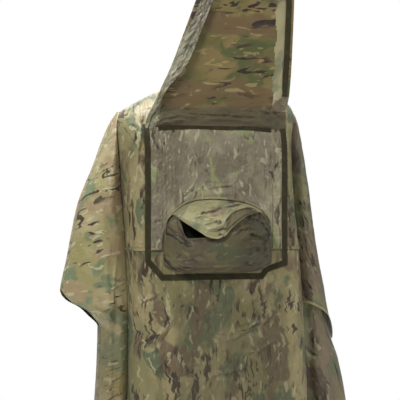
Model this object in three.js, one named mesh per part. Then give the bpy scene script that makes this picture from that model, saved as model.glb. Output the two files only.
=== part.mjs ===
// Rain poncho as it hangs when worn, millimetres, +Z up.
// The back looks to -Y, +X is to the right of somebody who stands behind it.
// The origin is the middle of the neck opening at the height of the shoulder seams.
import * as THREE from "three";

// Driving sizes
const WALL = 2; // the cloth
const SEAM = 0.3; // free space between pieces sewn edge to edge
const LAID = 0.95; // free space under a piece that is laid on the curved back
const FOLD_GAP = 0.9; // free space in the sharp valley between back and arm
const HEM = -1090; // level lower edge
const YOKE_HEM = -437; // free hem of the upper back layer
const RIDGE_Y = -5; // the shoulder seam runs a little behind the middle
const EDGE_Y = 10; // where back and front meet at the outer edge
const CROWN = 4; // the middle of the back and of the front stands out this much more than their corners
const NECK = { half: 108, back: 85, front: 93, backDrop: 14, frontDrop: 52 };
const ROLL_END = -180; // the cloth hangs free below this level
const TAPE = { width: 16, thick: 1.6, top: -101.5 };
// The part of the back under tape, panel and pouch, which has no folds.
const FRAME_ZONE = { side: 219, sideFade: 9, bottom: -532, bottomFade: 16 };

// Shoulder seam: height above the origin by distance from the middle.
const SHOULDER_LEFT = [
  { x: 108, z: 6 }, { x: 130, z: -2 }, { x: 170, z: -21 }, { x: 208, z: -42 }, { x: 240, z: -61 },
];
const SHOULDER_RIGHT = [
  { x: 108, z: 6 }, { x: 150, z: -2 }, { x: 205, z: -13 }, { x: 250, z: -27 },
];

// One row per level. corner: where the flat back turns in; valley: where it meets the arm;
// edge: outer edge of the garment; arm: how far the arm stands out behind (and in front of) the middle.
const LEFT = [
  { z: -61, corner: 206, valley: 240, edge: 245, arm: 40 },
  { z: -83, corner: 209, valley: 252, edge: 258, arm: 60 },
  { z: -124, corner: 211, valley: 258, edge: 275, arm: 75 },
  { z: -165, corner: 212, valley: 256, edge: 291, arm: 82 },
  { z: -215, corner: 212, valley: 252, edge: 311, arm: 86 },
  { z: -275, corner: 212, valley: 248, edge: 338, arm: 90 },
  { z: -321, corner: 212, valley: 244, edge: 354, arm: 92 },
  { z: -400, corner: 211, valley: 238, edge: 371, arm: 93 },
  { z: -462, corner: 210, valley: 235, edge: 383, arm: 92 },
  { z: -512, corner: 210, valley: 233, edge: 395, arm: 89 },
  { z: -541, corner: 210, valley: 232, edge: 400, arm: 86 },
  { z: -557, corner: 210, valley: 231, edge: 394, arm: 84 },
  { z: -576, corner: 210, valley: 231, edge: 377, arm: 82 },
  { z: -599, corner: 210, valley: 230, edge: 337, arm: 80 },
  { z: -622, corner: 210, valley: 229, edge: 314, arm: 78 },
  { z: -647, corner: 210, valley: 229, edge: 294, arm: 76 },
  { z: -726, corner: 210, valley: 230, edge: 296, arm: 76 },
  { z: -900, corner: 212, valley: 233, edge: 306, arm: 84 },
  { z: -1090, corner: 216, valley: 238, edge: 322, arm: 92 },
];
const RIGHT = [
  { z: -27, corner: 205, valley: 250, edge: 256, arm: 25 },
  { z: -49, corner: 205, valley: 254, edge: 265, arm: 45 },
  { z: -66, corner: 204, valley: 254, edge: 273, arm: 58 },
  { z: -101, corner: 198, valley: 242, edge: 282, arm: 70 },
  { z: -150, corner: 196, valley: 228, edge: 290, arm: 79 },
  { z: -219, corner: 197, valley: 230, edge: 302, arm: 84 },
  { z: -302, corner: 200, valley: 237, edge: 314, arm: 87 },
  { z: -380, corner: 204, valley: 247, edge: 325, arm: 88 },
  { z: -452, corner: 208, valley: 255, edge: 338, arm: 88 },
  { z: -551, corner: 211, valley: 264, edge: 361, arm: 88 },
  { z: -627, corner: 214, valley: 270, edge: 376, arm: 88 },
  { z: -703, corner: 217, valley: 275, edge: 400, arm: 88 },
  { z: -761, corner: 218, valley: 278, edge: 419, arm: 90 },
  { z: -900, corner: 222, valley: 282, edge: 438, arm: 94 },
  { z: -1090, corner: 226, valley: 288, edge: 452, arm: 98 },
];

// How far the flat parts and the valleys stand from the middle, behind and in front.
const BACK_FLAT = [{ z: -90, y: 150 }, { z: -500, y: 151 }, { z: -760, y: 154 }, { z: -1090, y: 168 }];
const FRONT_FLAT = [{ z: -90, y: 118 }, { z: -420, y: 134 }, { z: -760, y: 142 }, { z: -1090, y: 158 }];
const VALLEY_Y = { back: 60, front: 46 };
// An arm is deepest at this part of its width, and less deep in front than behind.
const ARM = { turn: 0.42, frontShare: 0.9, round: 0.7 };

// The left cuff opens between these levels of the outer edge.
const CUFF = { top: -541, bottom: -647, open: 46 };
// The right sleeve ends in a slanting hem: its level from the valley (0) to the outer edge (1).
const SLEEVE_HEM = [
  { t: 0, z: -588 }, { t: 0.3, z: -596 }, { t: 0.5, z: -610 }, { t: 0.68, z: -634 },
  { t: 0.82, z: -662 }, { t: 0.92, z: -684 }, { t: 1, z: -703 },
];

// How far the body's side lies inside the right sleeve, which opens towards the front.
// It reaches up into the sleeve, is sewn to it at the valley, and its steps fade below the hem.
const CUFF_STEP = { back: 20, edge: 9, front: 48, overlap: 52, sewn: 0.22, rise: 0.3, fadeFrom: -700, fade: 180,
  left: 0.3, middle: 300 };

// Large folds: a crest from one end to the other, out above 0 is a ridge, below 0 a trough.
const BACK_FOLDS = [
  { x0: -190, z0: -540, x1: -205, z1: -1090, width: 26, out: 13 },
  { x0: -150, z0: -640, x1: -146, z1: -1090, width: 22, out: -8 },
  { x0: -212, z0: -560, x1: -90, z1: -640, width: 12, out: 5 },
  { x0: -190, z0: -742, x1: -95, z1: -636, width: 14, out: 6 },
  { x0: -20, z0: -700, x1: 128, z1: -664, width: 13, out: 6 },
  { x0: -60, z0: -720, x1: -30, z1: -1090, width: 30, out: 9 },
  { x0: 20, z0: -760, x1: 38, z1: -1090, width: 26, out: -9 },
  { x0: 92, z0: -640, x1: 104, z1: -1090, width: 28, out: 8 },
  { x0: 140, z0: -560, x1: 150, z1: -980, width: 22, out: -6 },
  { x0: 196, z0: -520, x1: 206, z1: -1090, width: 22, out: 9 },
  { x0: -226, z0: -112, x1: -212, z1: -160, width: 10, out: 5 },
  { x0: -224, z0: -430, x1: -208, z1: -390, width: 10, out: 4 },
  { x0: -226, z0: -505, x1: -206, z1: -488, width: 10, out: 4 },
];
const ARM_FOLDS_LEFT = [
  { x0: -286, z0: -470, x1: -296, z1: -1060, width: 14, out: 9 },
  { x0: -268, z0: -560, x1: -266, z1: -1060, width: 11, out: -8 },
  { x0: -268, z0: -600, x1: -342, z1: -570, width: 12, out: 6 },
  { x0: -250, z0: -628, x1: -318, z1: -596, width: 11, out: -6 },
  { x0: -262, z0: -240, x1: -330, z1: -300, width: 20, out: 4 },
  { x0: -256, z0: -330, x1: -352, z1: -452, width: 24, out: -5 },
  { x0: -276, z0: -130, x1: -286, z1: -400, width: 14, out: 4 },
];
const ARM_FOLDS_RIGHT = [
  { x0: 288, z0: -180, x1: 300, z1: -560, width: 14, out: 6 },
  { x0: 262, z0: -360, x1: 312, z1: -520, width: 16, out: -6 },
  { x0: 292, z0: -540, x1: 352, z1: -640, width: 16, out: 5 },
  { x0: 320, z0: -720, x1: 352, z1: -1060, width: 24, out: 12 },
  { x0: 370, z0: -760, x1: 398, z1: -1060, width: 18, out: -10 },
  { x0: 300, z0: -640, x1: 306, z1: -1000, width: 16, out: -8 },
];
const FRONT_FOLDS = [
  { x0: -190, z0: -320, x1: -205, z1: -1090, width: 30, out: 11 },
  { x0: -130, z0: -420, x1: -138, z1: -1090, width: 26, out: -9 },
  { x0: -60, z0: -520, x1: -72, z1: -1090, width: 30, out: 10 },
  { x0: 10, z0: -460, x1: 4, z1: -1090, width: 28, out: -8 },
  { x0: 80, z0: -380, x1: 96, z1: -1090, width: 30, out: 10 },
  { x0: 150, z0: -560, x1: 160, z1: -1090, width: 24, out: -9 },
  { x0: 205, z0: -420, x1: 214, z1: -1090, width: 24, out: 8 },
  { x0: -90, z0: -110, x1: -40, z1: -250, width: 20, out: -5 },
  { x0: 90, z0: -110, x1: 44, z1: -260, width: 20, out: -5 },
];

// Arched lower edge of the inner panel, seen from behind.
const ARCH = [
  { x: -157, z: -394 }, { x: -152, z: -386 }, { x: -149, z: -362 },
  { x: -140, z: -346 }, { x: -116, z: -323 }, { x: -89, z: -308 }, { x: -60, z: -301 },
  { x: -15, z: -299 }, { x: 30, z: -303 }, { x: 75, z: -311 }, { x: 110, z: -326 },
  { x: 128, z: -341 }, { x: 142, z: -361 }, { x: 148, z: -385 }, { x: 154, z: -394 },
];
// Lower lip of the hood brim: how low it hangs and how far it stands out.
const BRIM_LIP = [
  { x: -134, z: -338, out: 9 }, { x: -119, z: -354, out: 30 }, { x: -96, z: -372, out: 47 },
  { x: -76, z: -386, out: 57 }, { x: -56, z: -399, out: 63 }, { x: -33, z: -404, out: 66 },
  { x: -11, z: -397, out: 66 }, { x: 8, z: -379, out: 64 }, { x: 34, z: -358, out: 60 },
  { x: 62, z: -342, out: 54 }, { x: 88, z: -335, out: 42 }, { x: 112, z: -338, out: 22 },
];
// Upper rim of the hood bag: how high it reaches and how far it stands out.
const BAG_RIM = [
  { x: -157, z: -398, out: 3 }, { x: -150, z: -368, out: 6 }, { x: -140, z: -354, out: 9 },
  { x: -128, z: -356, out: 16 }, { x: -119, z: -384, out: 28 }, { x: -108, z: -403, out: 36 },
  { x: -53, z: -404, out: 42 }, { x: 0, z: -398, out: 44 }, { x: 36, z: -376, out: 40 },
  { x: 66, z: -358, out: 34 }, { x: 96, z: -350, out: 22 }, { x: 128, z: -352, out: 9 },
  { x: 140, z: -370, out: 5 }, { x: 148, z: -398, out: 3 },
];
const BAG = { left: -158, right: 148, bottom: -497, belly: 62, cornerRise: 24, fullFrom: 0.45 };
const BRIM = { seamX: -17, seamWidth: 12, seamOut: 3, swell: 1.12, tuckFrom: 0.72, start: 6.4 };

// The lifted flap, seen from behind: left fold, free edge of the turned border, right edge.
const FLAP = { base: -98, y: -162, top: 300, back: 10, freeOver: 90, sewnOut: 3.2, tapeIn: 24,
  tapeEnd: -30 };
const FLAP_FOLD = { sewnRadius: 1.6, radius: 4, sewnLean: 3, lean: 13 };
const FLAP_LEVELS = [300, 252, 204, 156, 114, 76, 40, 8, -20, -42, -60, -75, -88, -98];
const FLAP_ROWS = [
  { z: -98, left: -203, free: -196, right: 199 }, { z: -81, left: -196, free: -187, right: 197 },
  { z: -55, left: -186, free: -175, right: 195 }, { z: -14, left: -170, free: -158, right: 198 },
  { z: 48, left: -141, free: -106, right: 203 }, { z: 128, left: -110, free: -70, right: 206 },
  { z: 300, left: -47, free: -6, right: 210 },
];
const FLAP_FOLDS = [
  { x0: -150, z0: -84, x1: 20, z1: -60, width: 12, out: 5 },
  { x0: 20, z0: -66, x1: 175, z1: -86, width: 10, out: 4 },
  { x0: 120, z0: -70, x1: 196, z1: 10, width: 16, out: 6 },
  { x0: -120, z0: -60, x1: 60, z1: 190, width: 34, out: -6 },
  { x0: 60, z0: 60, x1: 110, z1: 290, width: 34, out: 5 },
];

// Looks
const LOOKS = {
  cloth: { color: 0x8b8460, roughness: 0.62, metalness: 0 },
  clothWarm: { color: 0x948a66, roughness: 0.6, metalness: 0 },
  clothDim: { color: 0x746c4c, roughness: 0.66, metalness: 0 },
  inner: { color: 0x87836c, roughness: 0.5, metalness: 0 },
  lifted: { color: 0x6c6238, roughness: 0.58, metalness: 0 },
  tape: { color: 0x3a3520, roughness: 0.92, metalness: 0 },
  binding: { color: 0x353019, roughness: 0.85, metalness: 0 },
};

// Helpers
const clamp = (v, a, b) => Math.min(b, Math.max(a, v));
const mix = (a, b, t) => a + (b - a) * t;
const smooth = (t) => {
  const c = clamp(t, 0, 1);
  return c * c * (3 - 2 * c);
};
const rad = (deg) => (deg * Math.PI) / 180;

// Smooth value of a table's column at a key, without overshoot between rows.
function along(table, key, at, column) {
  const rows = table[0][key] < table[table.length - 1][key] ? table : [...table].reverse();
  if (at <= rows[0][key]) return rows[0][column];
  if (at >= rows[rows.length - 1][key]) return rows[rows.length - 1][column];
  let i = 0;
  while (rows[i + 1][key] < at) i++;
  const step = (k) => (rows[k + 1][column] - rows[k][column]) / (rows[k + 1][key] - rows[k][key]);
  const slope = (k) => {
    if (k === 0) return step(0);
    if (k === rows.length - 1) return step(k - 1);
    const a = step(k - 1);
    const b = step(k);
    return a * b <= 0 ? 0 : (2 * a * b) / (a + b);
  };
  const h = rows[i + 1][key] - rows[i][key];
  const t = (at - rows[i][key]) / h;
  const [y0, y1] = [rows[i][column], rows[i + 1][column]];
  const [m0, m1] = [slope(i) * h, slope(i + 1) * h];
  return (2 * t ** 3 - 3 * t ** 2 + 1) * y0 + (t ** 3 - 2 * t ** 2 + t) * m0
    + (-2 * t ** 3 + 3 * t ** 2) * y1 + (t ** 3 - t ** 2) * m1;
}

// Height of all folds of a table at a place, soft across and fading at both ends.
function folds(table, x, z) {
  let sum = 0;
  for (const f of table) {
    const dx = f.x1 - f.x0;
    const dz = f.z1 - f.z0;
    const length = Math.hypot(dx, dz);
    const s = ((x - f.x0) * dx + (z - f.z0) * dz) / length;
    const off = ((x - f.x0) * dz - (z - f.z0) * dx) / length;
    const fade = 0.28 * length;
    const end = smooth(s / fade) * (f.z1 <= HEM ? 1 : smooth((length - s) / fade));
    sum += f.out * end * Math.exp(-((off / f.width) ** 2));
  }
  return sum;
}

// Outer points of a piece: rows of v, columns of u.
function gridOf(columns, rows, point) {
  const points = [];
  for (let j = 0; j <= rows; j++)
    for (let i = 0; i <= columns; i++) points.push(point(i / columns, j / rows, i, j));
  return { columns, rows, points };
}

// A cloth wall through a grid of outer points, its rims closed.
// trim keeps an inner point on its own side of a seam.
function cloth(name, look, { columns, rows, points: outer }, thick = WALL, trim = (p) => p) {
  const id = (i, j) => j * (columns + 1) + i;
  const inner = outer.map((p, k) => {
    const i = k % (columns + 1);
    const j = Math.floor(k / (columns + 1));
    const du = outer[id(Math.min(i + 1, columns), j)].clone().sub(outer[id(Math.max(i - 1, 0), j)]);
    const dv = outer[id(i, Math.min(j + 1, rows))].clone().sub(outer[id(i, Math.max(j - 1, 0))]);
    return trim(p.clone().addScaledVector(dv.cross(du).normalize(), -thick), p, i, j);
  });
  const index = [];
  const n = outer.length;
  const quad = (a, b, c, d) => index.push(a, b, c, a, c, d);
  for (let j = 0; j < rows; j++)
    for (let i = 0; i < columns; i++) {
      quad(id(i, j), id(i, j + 1), id(i + 1, j + 1), id(i + 1, j));
      quad(n + id(i, j), n + id(i + 1, j), n + id(i + 1, j + 1), n + id(i, j + 1));
    }
  for (let j = 0; j < rows; j++) {
    quad(id(0, j), n + id(0, j), n + id(0, j + 1), id(0, j + 1));
    quad(id(columns, j + 1), n + id(columns, j + 1), n + id(columns, j), id(columns, j));
  }
  for (let i = 0; i < columns; i++) {
    quad(id(i + 1, 0), n + id(i + 1, 0), n + id(i, 0), id(i, 0));
    quad(id(i, rows), n + id(i, rows), n + id(i + 1, rows), id(i + 1, rows));
  }
  const geometry = new THREE.BufferGeometry();
  geometry.setAttribute("position",
    new THREE.Float32BufferAttribute([...outer, ...inner].flatMap((p) => p.toArray()), 3));
  geometry.setIndex(index);
  geometry.computeVertexNormals();
  const mesh = new THREE.Mesh(geometry, new THREE.MeshStandardMaterial(LOOKS[look]));
  mesh.name = name;
  return mesh;
}

// The garment's main surface
const sideTable = (right) => (right ? RIGHT : LEFT);
const shoulder = (right) => (right ? SHOULDER_RIGHT : SHOULDER_LEFT);
const sideTop = (right) => (right ? RIGHT[0].z : LEFT[0].z);

// Upper edge of the back or front at a distance from the middle: neck curve, then shoulder seam.
function topEdge(face, right, x) {
  if (x < NECK.half) {
    const c = Math.sqrt(1 - (x / NECK.half) ** 2);
    const seamZ = shoulder(right)[0].z;
    return face === "back"
      ? { y: RIDGE_Y - NECK.back * c, z: mix(seamZ, -NECK.backDrop, c) }
      : { y: RIDGE_Y + NECK.front * c, z: mix(seamZ, -NECK.frontDrop, c) };
  }
  return { y: RIDGE_Y, z: along(shoulder(right), "x", x, "z") };
}

// Depth of the back or front at a level z, where the column stands at part c of the flat
// (0 middle, 1 corner) or at the angle a round the corner.
function panelPoint(face, right, c, a, z) {
  const sign = face === "back" ? -1 : 1;
  const side = sideTable(right);
  const topX = c * side[0].corner + (side[0].valley - side[0].corner) * Math.sin(a);
  const top = topEdge(face, right, Math.min(topX, side[0].valley));
  const corner = along(side, "z", z, "corner");
  const valley = along(side, "z", z, "valley");
  const x = (right ? 1 : -1) * (c * corner + (valley - corner) * Math.sin(a));
  const flat = along(face === "back" ? BACK_FLAT : FRONT_FLAT, "z", z, "y") + CROWN * (1 - c * c);
  const depth = mix(flat, VALLEY_Y[face], 1 - Math.cos(a));
  const drop = clamp((top.z - z) / (top.z - ROLL_END), 0, 1);
  const roll = Math.sqrt(1 - (1 - drop) ** 2);
  let out = 0;
  if (face === "back") {
    const inFrame = smooth((FRAME_ZONE.side - Math.abs(x)) / FRAME_ZONE.sideFade)
      * smooth((z - FRAME_ZONE.bottom) / FRAME_ZONE.bottomFade);
    out = folds(BACK_FOLDS, x, z) * (1 - inFrame);
  } else out = folds(FRONT_FOLDS, x, z);
  const y = top.y + (sign * depth - top.y) * roll + sign * out * roll * Math.cos(a);
  return new THREE.Vector3(x, y, z);
}

// Depth of a gridded piece at x, z, on the same flat triangles that its wall has.
function depthOn({ columns, points }, x, z) {
  const part = (p, a, b) => (b.x - a.x) * (p.z - a.z) - (b.z - a.z) * (p.x - a.x);
  const p = { x, z };
  for (let k = 0; k + columns + 2 < points.length; k++) {
    if ((k + 1) % (columns + 1) === 0) continue;
    const [a, b, c, d] = [points[k], points[k + columns + 1], points[k + columns + 2], points[k + 1]];
    for (const [q, r, s] of [[a, b, c], [a, c, d]]) {
      const area = part(s, q, r);
      const u = part(p, q, r) / area;
      const v = part(p, r, s) / area;
      const w = 1 - u - v;
      if (u >= -1e-9 && v >= -1e-9 && w >= -1e-9) return s.y * u + q.y * v + r.y * w;
    }
  }
  return null;
}

// Point on the back at x, z, moved out by d.
function onBack(x, z, d) {
  const at = (px, pz) => {
    const right = px > 0;
    const side = sideTable(right);
    const ax = Math.abs(px);
    const corner = along(side, "z", pz, "corner");
    const valley = along(side, "z", pz, "valley");
    const a = ax > corner ? Math.asin(Math.min(1, (ax - corner) / (valley - corner))) : 0;
    return panelPoint("back", right, Math.min(1, ax / corner), a, pz).y;
  };
  const normal = new THREE.Vector3(
    (at(x + 1, z) - at(x - 1, z)) / 2, -1, (at(x, z + 1) - at(x, z - 1)) / 2).normalize();
  const y = depthOn(z >= YOKE_HEM ? YOKE_GRID : LOWER_GRID, x, z) ?? at(x, z);
  return new THREE.Vector3(x, y, z).addScaledVector(normal, d);
}

// Columns of the back and front panels, from the middle to the valley.
const HALF_COLUMNS = [
  ...[0, 32, 60, 82, 97, 106].map((x) => ({ x, a: 0 })),
  ...[110, 128, 150, 174].map((x) => ({ x, a: 0 })),
  ...[0, 26, 52, 74, 90].map((deg) => ({ x: Infinity, a: rad(deg) })),
];
function panelColumns() {
  const half = (right) => HALF_COLUMNS.map((c) => ({
    right, c: Math.min(1, c.x / sideTable(right)[0].corner), a: c.a }));
  return [...half(false).slice(1).reverse(), ...half(true)];
}

// Inner points of a panel stay behind its shoulder seam and inside its valleys.
function panelTrim(face, line) {
  const sign = face === "back" ? -1 : 1;
  return (p, outer, i, j) => {
    if (j === 0 && Math.abs(p.x) > NECK.half - 12)
      p.y = sign * Math.max(sign * p.y, sign * RIDGE_Y + SEAM / 2);
    const atValley = i === 0 || i === line.length - 1;
    if (atValley) p.x = Math.sign(p.x) * Math.min(Math.abs(p.x), Math.abs(outer.x));
    return p;
  };
}

// Level of row j: the first ROLL_ROWS rows go over the shoulder by equal angles.
const ROLL_ROWS = 5;
function levelOf(top, bottom, rows, j) {
  if (j <= ROLL_ROWS) return top - (top - ROLL_END) * (1 - Math.cos((j / ROLL_ROWS) * Math.PI / 2));
  return mix(ROLL_END, bottom, (j - ROLL_ROWS) / (rows - ROLL_ROWS));
}

const YOKE_LINE = panelColumns();
const YOKE_GRID = (() => {
  const rows = 13;
  return gridOf(YOKE_LINE.length - 1, rows, (u, v, i, j) => {
    const { right, c, a } = YOKE_LINE[i];
    const side = sideTable(right)[0];
    const top = topEdge("back", right, c * side.corner + (side.valley - side.corner) * Math.sin(a));
    const p = panelPoint("back", right, c, a, levelOf(top.z, YOKE_HEM, rows, j));
    if (j === 0) p.y -= SEAM / 2;
    return p;
  });
})();

// The lower back goes without the two columns that only the neck curve needs.
const NECK_COLUMNS = [97, 110];
const LOWER_LINE = YOKE_LINE.filter((c) => c.a || c.c === 1
  || !NECK_COLUMNS.some((x) => Math.abs(x / sideTable(c.right)[0].corner - c.c) < 1e-6));
const LOWER_GRID = gridOf(LOWER_LINE.length - 1, 16, (u, v, i) => {
  const { right, c, a } = LOWER_LINE[i];
  return panelPoint("back", right, c, a, mix(YOKE_HEM - SEAM, HEM, v));
});

function front() {
  const line = [...LOWER_LINE].reverse();
  const rows = 17;
  return cloth("front", "cloth", gridOf(line.length - 1, rows, (u, v, i, j) => {
    const { right, c, a } = line[i];
    const side = sideTable(right)[0];
    const top = topEdge("front", right, c * side.corner + (side.valley - side.corner) * Math.sin(a));
    const p = panelPoint("front", right, c, a, levelOf(top.z, HEM, rows, j));
    if (j === 0) p.y += SEAM / 2;
    return p;
  }), WALL, panelTrim("front", line));
}

// Sleeves and sides
// Part of its full depth that an arm has at level z, just under the shoulder.
function sideRoll(right, z) {
  const top = sideTop(right);
  const drop = clamp((top - z) / (top - ROLL_END), 0, 1);
  return Math.sqrt(1 - (1 - drop) ** 2);
}

// Point of an arm or side at level z: t goes from the valley (0) over the arm to the outer edge (1).
function sidePoint(face, right, t, z, gap) {
  const side = sideTable(right);
  const sign = face === "back" ? -1 : 1;
  const valley = along(side, "z", z, "valley") + FOLD_GAP;
  const edge = along(side, "z", z, "edge");
  const arm = along(side, "z", z, "arm") * (face === "back" ? 1 : ARM.frontShare);
  const armX = mix(valley, edge, ARM.turn);
  let x, y;
  let apart = SEAM / 2;
  if (t < ARM.turn) {
    x = mix(valley, armX, t / ARM.turn);
    y = mix(sign * VALLEY_Y[face], sign * arm, Math.sin((t / ARM.turn) * Math.PI / 2) ** 2);
  } else {
    const a = ((t - ARM.turn) / (1 - ARM.turn)) * Math.PI / 2;
    x = armX + (edge - armX) * Math.sin(a);
    y = mix(sign * arm, EDGE_Y, 1 - Math.cos(a));
    apart = Math.max(apart, gap * (1 - Math.cos(a)));
  }
  const roll = sideRoll(right, z);
  y = RIDGE_Y + (y - RIDGE_Y) * roll + sign * apart;
  x *= right ? 1 : -1;
  const table = right ? ARM_FOLDS_RIGHT : ARM_FOLDS_LEFT;
  y += sign * folds(table, x, z) * Math.sin(Math.PI * t) ** ARM.round * roll;
  return new THREE.Vector3(x, y, z);
}

// Half gap between back and front edge at the left cuff.
function cuffGap(z) {
  const t = (CUFF.top - z) / (CUFF.top - CUFF.bottom);
  return SEAM / 2 + (t > 0 && t < 1 ? CUFF.open * Math.sin(Math.PI * t) ** ARM.round : 0);
}

// Levels of the left side below the shoulder, closer together at the cuff.
const LEFT_LEVELS = [-225, -275, -325, -375, -425, -475, -512, CUFF.top, -557, -574, -592, -610, -628,
  CUFF.bottom, -680, -726, -800, -880, -980, HEM];
function leftSide(face, columns) {
  const rows = ROLL_ROWS + LEFT_LEVELS.length;
  const top = sideTop(false);
  return cloth(`left_side_${face}`, "clothWarm", gridOf(columns, rows, (u, v, i, j) => {
    const z = j <= ROLL_ROWS ? levelOf(top - SEAM, HEM, rows, j) : LEFT_LEVELS[j - ROLL_ROWS - 1];
    return sidePoint(face, false, face === "back" ? 1 - u : u, z, cuffGap(z));
  }), WALL, sideTrim(face, false, face === "back" ? columns : 0));
}

// Inner points stay clear of the valley and of the seam along the outer edge.
function sideTrim(face, right, valleyColumn) {
  const sign = face === "back" ? -1 : 1;
  return (p, outer, i) => {
    if (i === valleyColumn) p.x = Math.sign(p.x) * Math.max(Math.abs(p.x), Math.abs(outer.x));
    const middle = RIDGE_Y + (EDGE_Y - RIDGE_Y) * sideRoll(right, p.z);
    p.y = sign * Math.max(sign * p.y, sign * middle + SEAM / 2);
    return p;
  };
}

const sleeveHem = (t) => along(SLEEVE_HEM, "t", t, "z");

function rightSleeve(face, columns) {
  const rows = 15;
  const top = sideTop(true);
  return cloth(`right_sleeve_${face}`, "clothDim", gridOf(columns, rows, (u, v, i, j) => {
    const t = face === "back" ? u : 1 - u;
    const z = levelOf(top - SEAM, sleeveHem(t), rows, j);
    return sidePoint(face, true, t, z, SEAM / 2);
  }), WALL, sideTrim(face, true, face === "back" ? 0 : columns));
}

// The body's side under the right sleeve hem: it starts inside the sleeve and is set in from it.
function rightSide() {
  const rows = 12;
  const columns = 16;
  const rowSpread = 1.15; // rows closer together inside the sleeve
  return cloth("right_side", "clothDim", gridOf(columns, rows, (u, v) => {
    const face = u <= 0.5 ? "back" : "front";
    const t = u <= 0.5 ? 2 * u : 2 - 2 * u;
    const overlap = CUFF_STEP.overlap * smooth((t - CUFF_STEP.sewn) / CUFF_STEP.rise);
    const start = sleeveHem(t) - SEAM * 3 + overlap;
    const z = mix(start, HEM, v ** rowSpread);
    const p = sidePoint(face, true, t, z, 0);
    const inset = mix(CUFF_STEP[face], CUFF_STEP.edge, smooth((t - 0.5) / 0.5)) * smooth(t / CUFF_STEP.sewn)
      * mix(1, CUFF_STEP.left, smooth((CUFF_STEP.fadeFrom - z) / CUFF_STEP.fade));
    const middle = new THREE.Vector3(CUFF_STEP.middle, EDGE_Y, z);
    return p.addScaledVector(middle.sub(p).setZ(0).normalize(), inset);
  }), WALL, (p, outer, i) => {
    if (i === 0 || i === columns) p.x = Math.max(p.x, outer.x);
    return p;
  });
}

// Tapes and inner panel on the back
// Unit step from one path point to the next.
function stepOf(a, b) {
  const length = Math.hypot(b.x - a.x, b.z - a.z);
  return { x: (b.x - a.x) / length, z: (b.z - a.z) / length };
}

// A flat ribbon laid on the back along a path of x, z points, mitred at its corners.
function ribbon(name, look, path, width, out, thick) {
  const last = path.length - 1;
  const across = path.map((p, k) => {
    const into = k > 0 ? stepOf(path[k - 1], p) : stepOf(p, path[1]);
    const from = k < last ? stepOf(p, path[k + 1]) : into;
    const x = into.z + from.z;
    const z = -(into.x + from.x);
    const miter = 1 / (x * into.z - z * into.x);
    return { x: x * miter, z: z * miter };
  });
  return cloth(name, look, gridOf(2, last, (u, v, i, j) => {
    const off = (0.5 - u) * width;
    return onBack(path[j].x + across[j].x * off, path[j].z + across[j].z * off, out);
  }), thick);
}

// Middle line of the frame tape, with its lower corners cut off.
const TAPE_LINE = [
  { x: -200, z: TAPE.top }, { x: -200, z: -464 }, { x: -160, z: -508 }, { x: 119, z: -508 },
  { x: 133, z: -491 }, { x: 188, z: -474 }, { x: 188, z: TAPE.top },
];
const TAPE_STEP = { curvedAbove: -195, curved: 9, flat: 20 }; // short steps where the back is curved
function frameTape() {
  const path = [TAPE_LINE[0]];
  TAPE_LINE.slice(1).forEach((b, k) => {
    const a = TAPE_LINE[k];
    const length = Math.hypot(b.x - a.x, b.z - a.z);
    for (let done = 0; done < length - 1;) {
      const z = mix(a.z, b.z, done / length);
      const step = z > TAPE_STEP.curvedAbove ? TAPE_STEP.curved : TAPE_STEP.flat;
      done = length - done < step * 1.5 ? length : done + step;
      path.push({ x: mix(a.x, b.x, done / length), z: mix(a.z, b.z, done / length) });
    }
  });
  return ribbon("frame_tape", "tape", path, TAPE.width, LAID + TAPE.thick, TAPE.thick);
}

// The binding along the inner panel's upper edge droops a little at both ends.
const BINDING = { left: -168, right: 151, z: -107.5, droop: 5, middle: -8, width: 13, thick: 2.4, steps: 22 };
const bindingZ = (x) => BINDING.z - BINDING.droop * Math.abs((x - BINDING.middle) / 160) ** 3;
function binding() {
  const path = Array.from({ length: BINDING.steps + 1 }, (_, k) => {
    const x = mix(BINDING.left, BINDING.right, k / BINDING.steps);
    return { x, z: bindingZ(x) };
  });
  return ribbon("panel_binding", "binding", path, BINDING.width, LAID + BINDING.thick, BINDING.thick);
}

const PANEL_FOLDS = [
  { x0: -104, z0: -170, x1: -88, z1: -262, width: 7, out: 3.5 },
  { x0: -124, z0: -140, x1: -106, z1: -230, width: 9, out: 2.5 },
  { x0: -20, z0: -150, x1: 6, z1: -240, width: 16, out: 3 },
  { x0: 62, z0: -160, x1: 74, z1: -270, width: 12, out: 3 },
  { x0: 112, z0: -140, x1: 128, z1: -300, width: 9, out: 3 },
  { x0: 20, z0: -274, x1: 96, z1: -262, width: 9, out: 2.5 },
  { x0: -70, z0: -286, x1: 66, z1: -284, width: 8, out: 3 },
];
// The panel's lower edge lifts off the back, and its wrinkles fade towards its edges.
const PANEL = { left: ARCH[0].x, right: ARCH[ARCH.length - 1].x, lift: 4.4, liftOver: 34, liftSide: 150,
  calmLow: 16, calmTop: 12 };
function innerPanel() {
  const columns = 26;
  const rows = 10;
  const rowSpread = 1.45; // rows closer together at the top, where the back is curved
  const sideShare = 0.55; // columns closer together at both ends
  return cloth("inner_panel", "inner", gridOf(columns, rows, (u, v) => {
    const fan = mix(2 * u - 1, Math.sin((u - 0.5) * Math.PI), sideShare);
    const x = mix(PANEL.left, PANEL.right, (fan + 1) / 2);
    const top = bindingZ(x) - BINDING.width / 2 - SEAM;
    const low = along(ARCH, "x", x, "z");
    const z = mix(top, low, v ** rowSpread);
    const lift = PANEL.lift * smooth(1 - (z - low) / PANEL.liftOver)
      * smooth((PANEL.liftSide - Math.abs(x)) / PANEL.calmLow);
    const crumple = folds(PANEL_FOLDS, x, z) * smooth((z - low) / PANEL.calmLow)
      * smooth((top - z) / PANEL.calmTop);
    return onBack(x, z, LAID + WALL + lift + crumple);
  }));
}

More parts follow.
